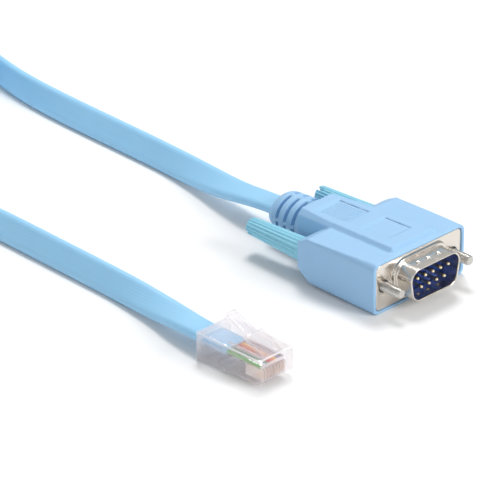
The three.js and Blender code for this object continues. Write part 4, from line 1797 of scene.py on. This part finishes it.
@dataclass
class Thumbscrew:
    """A threaded screw in a ribbed knob.

    Attributes:
        side: Its side.
        body: The body that turns with it.
        x: X of its axis.
        slot_angle: Turn of the screwdriver slot in degrees.
        middle: Height of its axis.
        diameter: Screw diameter.
        tip: Y of the screw's tip.
        shank_end: Y of its hidden end.
        thread_pitch: Pitch of the thread.
        thread_depth: Depth of the thread.
        thread_end: Where the thread runs out.
        knob_front: Where the knob starts.
        knob_tail: Where it ends.
        collar: Length of its smooth collar.
        front_diameter: Diameter of the collar.
        tail_diameter: Diameter at the tail.
        ribs: Number of ribs.
        rib_depth: Their depth.
        slot_width: Width of the screwdriver slot.
        slot_depth: Its depth.
        steel: The screw's finish.
        resin: The knob's finish.
    """

    side: Side
    body: Body
    x: float
    slot_angle: float
    middle: float = MIDDLE_Z
    diameter: float = 2.7
    tip: float = -5.7
    shank_end: float = 34.6
    thread_pitch: float = 0.635
    thread_depth: float = 0.2
    thread_end: float = 0.4
    knob_front: float = 22.6
    knob_tail: float = 47.0
    collar: float = 5.2
    front_diameter: float = 6.3
    tail_diameter: float = 4.6
    ribs: int = 18
    rib_depth: float = 0.26
    slot_width: float = 1.2
    slot_depth: float = 2.4
    steel: PlatedMetal = PlatedMetal("screw_steel", (206, 202, 196), roughness=0.26)
    resin: MouldedPlastic = MouldedPlastic("knob_resin", (140, 203, 224), roughness=0.45)

    def build(self, steel: bpy.types.Material, resin: bpy.types.Material) -> None:
        """Make and dress the screw and the knob.

        Args:
            steel: The screw's material.
            resin: The knob's material.
        """
        dressed(self.screw(), steel, self.body, Slot.NICKEL, f"jackscrew_{self.side.value}")
        dressed(self.knob(), resin, self.body, Slot.KNOB, f"knob_{self.side.value}")

    def round_point(self, reach: float, turn: float, y: float) -> Point:
        """Give a point at a distance from the axis, turned from the top in radians."""
        return self.x + reach * math.sin(turn), RIM_Y + y, self.middle + reach * math.cos(turn)

    def screw(self) -> bpy.types.Object:
        """Make the screw with its thread.

        Returns:
            The piece.
        """
        sides = 40
        step = 0.07
        count = int((self.thread_end - self.tip + 1.2) / step)
        levels = [self.tip + step * i for i in range(count)]
        rings = []
        radius = self.diameter / 2
        for y in levels:
            ring = []
            fade = smoothstep(y, self.tip, self.tip + 0.6)
            fade *= 1 - smoothstep(y, self.thread_end, self.thread_end + 0.8)
            blunt = radius - 0.42 * (1 - smoothstep(y, self.tip - 0.35, self.tip + 0.45))
            for k in range(sides):
                turn = 2 * math.pi * k / sides
                phase = (y / self.thread_pitch + k / sides) % 1.0
                ridge = max(0.0, min(1.0, 1.5 - 3.0 * abs(phase - 0.5)))
                reach = blunt - self.thread_depth * fade * (1 - ridge)
                ring.append(self.round_point(reach, math.pi / 2 - turn, y))
            rings.append(ring)
        rings.append(standing(arc((self.x, self.middle), radius, 0, 351, 39), self.shank_end))
        return Skin().tube(rings).made(f"screw_{self.side.value}", 50.0)

    def knob_levels(self) -> list[Flat]:
        """Give the rings of the knob from its collar to its tail.

        Returns:
            Y of each ring, and what it adds to the radius.
        """
        front, tail = self.knob_front, self.knob_tail
        collar_end = front + self.collar
        ribbed = tail - collar_end - 1.75
        return [
            (front, -0.25), (front + 0.1, -0.07), (front + 0.3, 0.0),
            *[(front + 0.3 + (self.collar - 0.4) * i / 6, 0.0) for i in range(1, 7)],
            *[(collar_end + 0.15 * i, 0.0) for i in range(1, 8)],
            *[(collar_end + 1.05 + ribbed * i / 20, 0.0) for i in range(1, 21)],
            (tail - 0.5, -0.04), (tail - 0.3, -0.15), (tail - 0.12, -0.32),
            (tail - 0.03, -0.52), (tail, -0.8),
        ]

    def knob(self) -> bpy.types.Object:
        """Make the knob with its ribs and slot.

        Returns:
            The piece.
        """
        sides = self.ribs * 8
        collar_end = self.knob_front + self.collar
        rings = []
        for y, growth in self.knob_levels():
            share = min(1.0, max(0.0, (y - collar_end) / (self.knob_tail - collar_end)))
            diameter = self.front_diameter + (self.tail_diameter - self.front_diameter) * share
            depth = self.rib_depth * smoothstep(y, collar_end, collar_end + 0.7)
            ring = []
            for k in range(sides):
                turn = 2 * math.pi * k / sides
                wave = 0.5 - 0.5 * math.cos(2 * math.pi * self.ribs * k / sides)
                reach = diameter / 2 + growth - depth * wave**1.6
                ring.append(self.round_point(reach, turn, y))
            rings.append(ring)
        piece = Skin().tube(rings).made(f"ribbed_knob_{self.side.value}", 45.0)
        half, reach = self.slot_width / 2, 4.0
        start, end = self.knob_tail - self.slot_depth, self.knob_tail + 1
        turn = Matrix.Rotation(math.radians(self.slot_angle), 3, "Y")
        rings = []
        for y in (start, end):
            corners = [(-half, -reach), (half, -reach), (half, reach), (-half, reach)]
            spots = [turn @ Vector((a, 0, b)) for a, b in corners]
            rings.append([(self.x + s.x, RIM_Y + y, self.middle + s.z) for s in spots])
        carve(piece, Skin().tube(rings).made("slot_tool"), 45.0)
        return piece


@dataclass
class ModularPlug:
    """The clear plug with its latch, contacts and wires.

    Attributes:
        x: X of its middle.
        front: Y of its front face behind the hood's rim.
        wire_diameter: Wire diameter.
        wire_front: Where the wires start.
        wire_back: Where they go into the jacket.
        wire_height: Height of the wires.
        pitch: Spacing of wires and contacts.
        housing_edge: Rounding of the housing's edges.
        latch_edge: Rounding of the latch's edges.
        contact_edge: Rounding of the contacts' edges.
        wire_colors: The wires' material slots and screen colours, from the left.
        clear: The housing's and the latch's finish.
        gold: The contacts' finish.
    """

    x: float = PLUG_X
    front: float = PLUG_Y
    wire_diameter: float = 0.9
    wire_front: float = 1.5
    wire_back: float = 12.76
    wire_height: float = 5.2
    pitch: float = 1.02
    housing_edge: float = 0.11
    latch_edge: float = 0.1
    contact_edge: float = 0.05
    wire_colors: tuple[tuple[Slot, Color], ...] = (
        (Slot.WIRE_GREEN, (96, 178, 84)), (Slot.WIRE_GREY, (188, 196, 204)),
        (Slot.WIRE_DARK_GREEN, (70, 120, 92)), (Slot.WIRE_RED, (196, 58, 52)),
        (Slot.WIRE_ORANGE, (232, 124, 52)), (Slot.WIRE_YELLOW, (232, 190, 70)),
        (Slot.WIRE_VIOLET, (130, 122, 170)), (Slot.WIRE_BLACK, (70, 70, 78)),
    )
    clear: ClearPlastic = ClearPlastic("clear_resin", (240, 228, 232))
    gold: PlatedMetal = PlatedMetal("contact_plating", (240, 200, 158), roughness=0.3)

    def build(self) -> list[bpy.types.Object]:
        """Make and dress the plug.

        Returns:
            Its pieces, which are on the cable.
        """
        clear, gold = self.clear.material(), self.gold.material()
        pieces = [
            dressed(self.housing(), clear, Body.ROOT, Slot.CLEAR, "plug_housing"),
            dressed(self.latch(), clear, Body.LATCH, Slot.CLEAR, "plug_latch"),
        ]
        for number, (slot, color) in enumerate(self.wire_colors, 1):
            contact, wire = self.contact(number), self.wire(number)
            sleeve = MouldedPlastic(f"insulation_{slot.value}", color, roughness=0.4, depth=0.002)
            pieces.append(dressed(contact, gold, Body.ROOT, Slot.CONTACT, f"contact_{number}"))
            pieces.append(dressed(wire, sleeve.material(), Body.ROOT, slot, f"wire_{number}"))
        return pieces

    def housing(self) -> bpy.types.Object:
        """Make the housing with rounded edges."""
        piece = softened(copied("plug_housing", "clear_housing"), self.housing_edge, 40.0)
        # The rounded edges are marked for a painted highlight.
        return marked_for_painted_highlight(piece, self.housing_edge)

    def latch(self) -> bpy.types.Object:
        """Make the latch with rounded edges."""
        piece = softened(copied("plug_latch", "clear_latch"), self.latch_edge, 40.0)
        # The rounded edges are marked for a painted highlight.
        return marked_for_painted_highlight(piece, self.latch_edge)

    def contact(self, number: int) -> bpy.types.Object:
        """Make one contact blade with softened edges."""
        return softened(copied(f"contact_{number}", f"blade_{number}"), self.contact_edge, 40.0)

    def wire(self, number: int) -> bpy.types.Object:
        """Make one insulated wire, cut square at the front.

        Args:
            number: Its number from the left.

        Returns:
            The piece.
        """
        middle = (self.x + (number - 4.5) * self.pitch, self.wire_height)
        radius = self.wire_diameter / 2
        start, end = self.front + self.wire_front, self.front + self.wire_back
        profile = [(radius - 0.2, start + 0.05), (radius - 0.06, start), (radius, start + 0.06)]
        profile += [(radius, start + (end - start) * i / 10) for i in range(1, 11)]
        return Skin().tube(turned(profile, middle, 20)).made(f"core_{number}", 50.0)


def main() -> None:
    """Build the classes in order."""
    logging.basicConfig(level=logging.INFO, format="%(message)s")
    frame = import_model()
    FRAME_NODES.update({name: node.name for name, node in frame["nodes"].items()})
    Studio().build()
    cable, hood, shell = FlatCable(), Hood(), FrontShell()
    ribbon, tie, line = cable.build()
    hood.build()
    shell.build()
    PinField().build(shell)
    steel, resin = Thumbscrew.steel.material(), Thumbscrew.resin.material()
    half = shell.screw_spacing / 2
    Thumbscrew(Side.LEFT, Body.LEFT_SCREW, -half, 62.0).build(steel, resin)
    Thumbscrew(Side.RIGHT, Body.RIGHT_SCREW, half, -24.0).build(steel, resin)
    cable.declare(ribbon, line, hood.boot_end, [tie, *ModularPlug().build()])


if __name__ == "__main__":
    main()
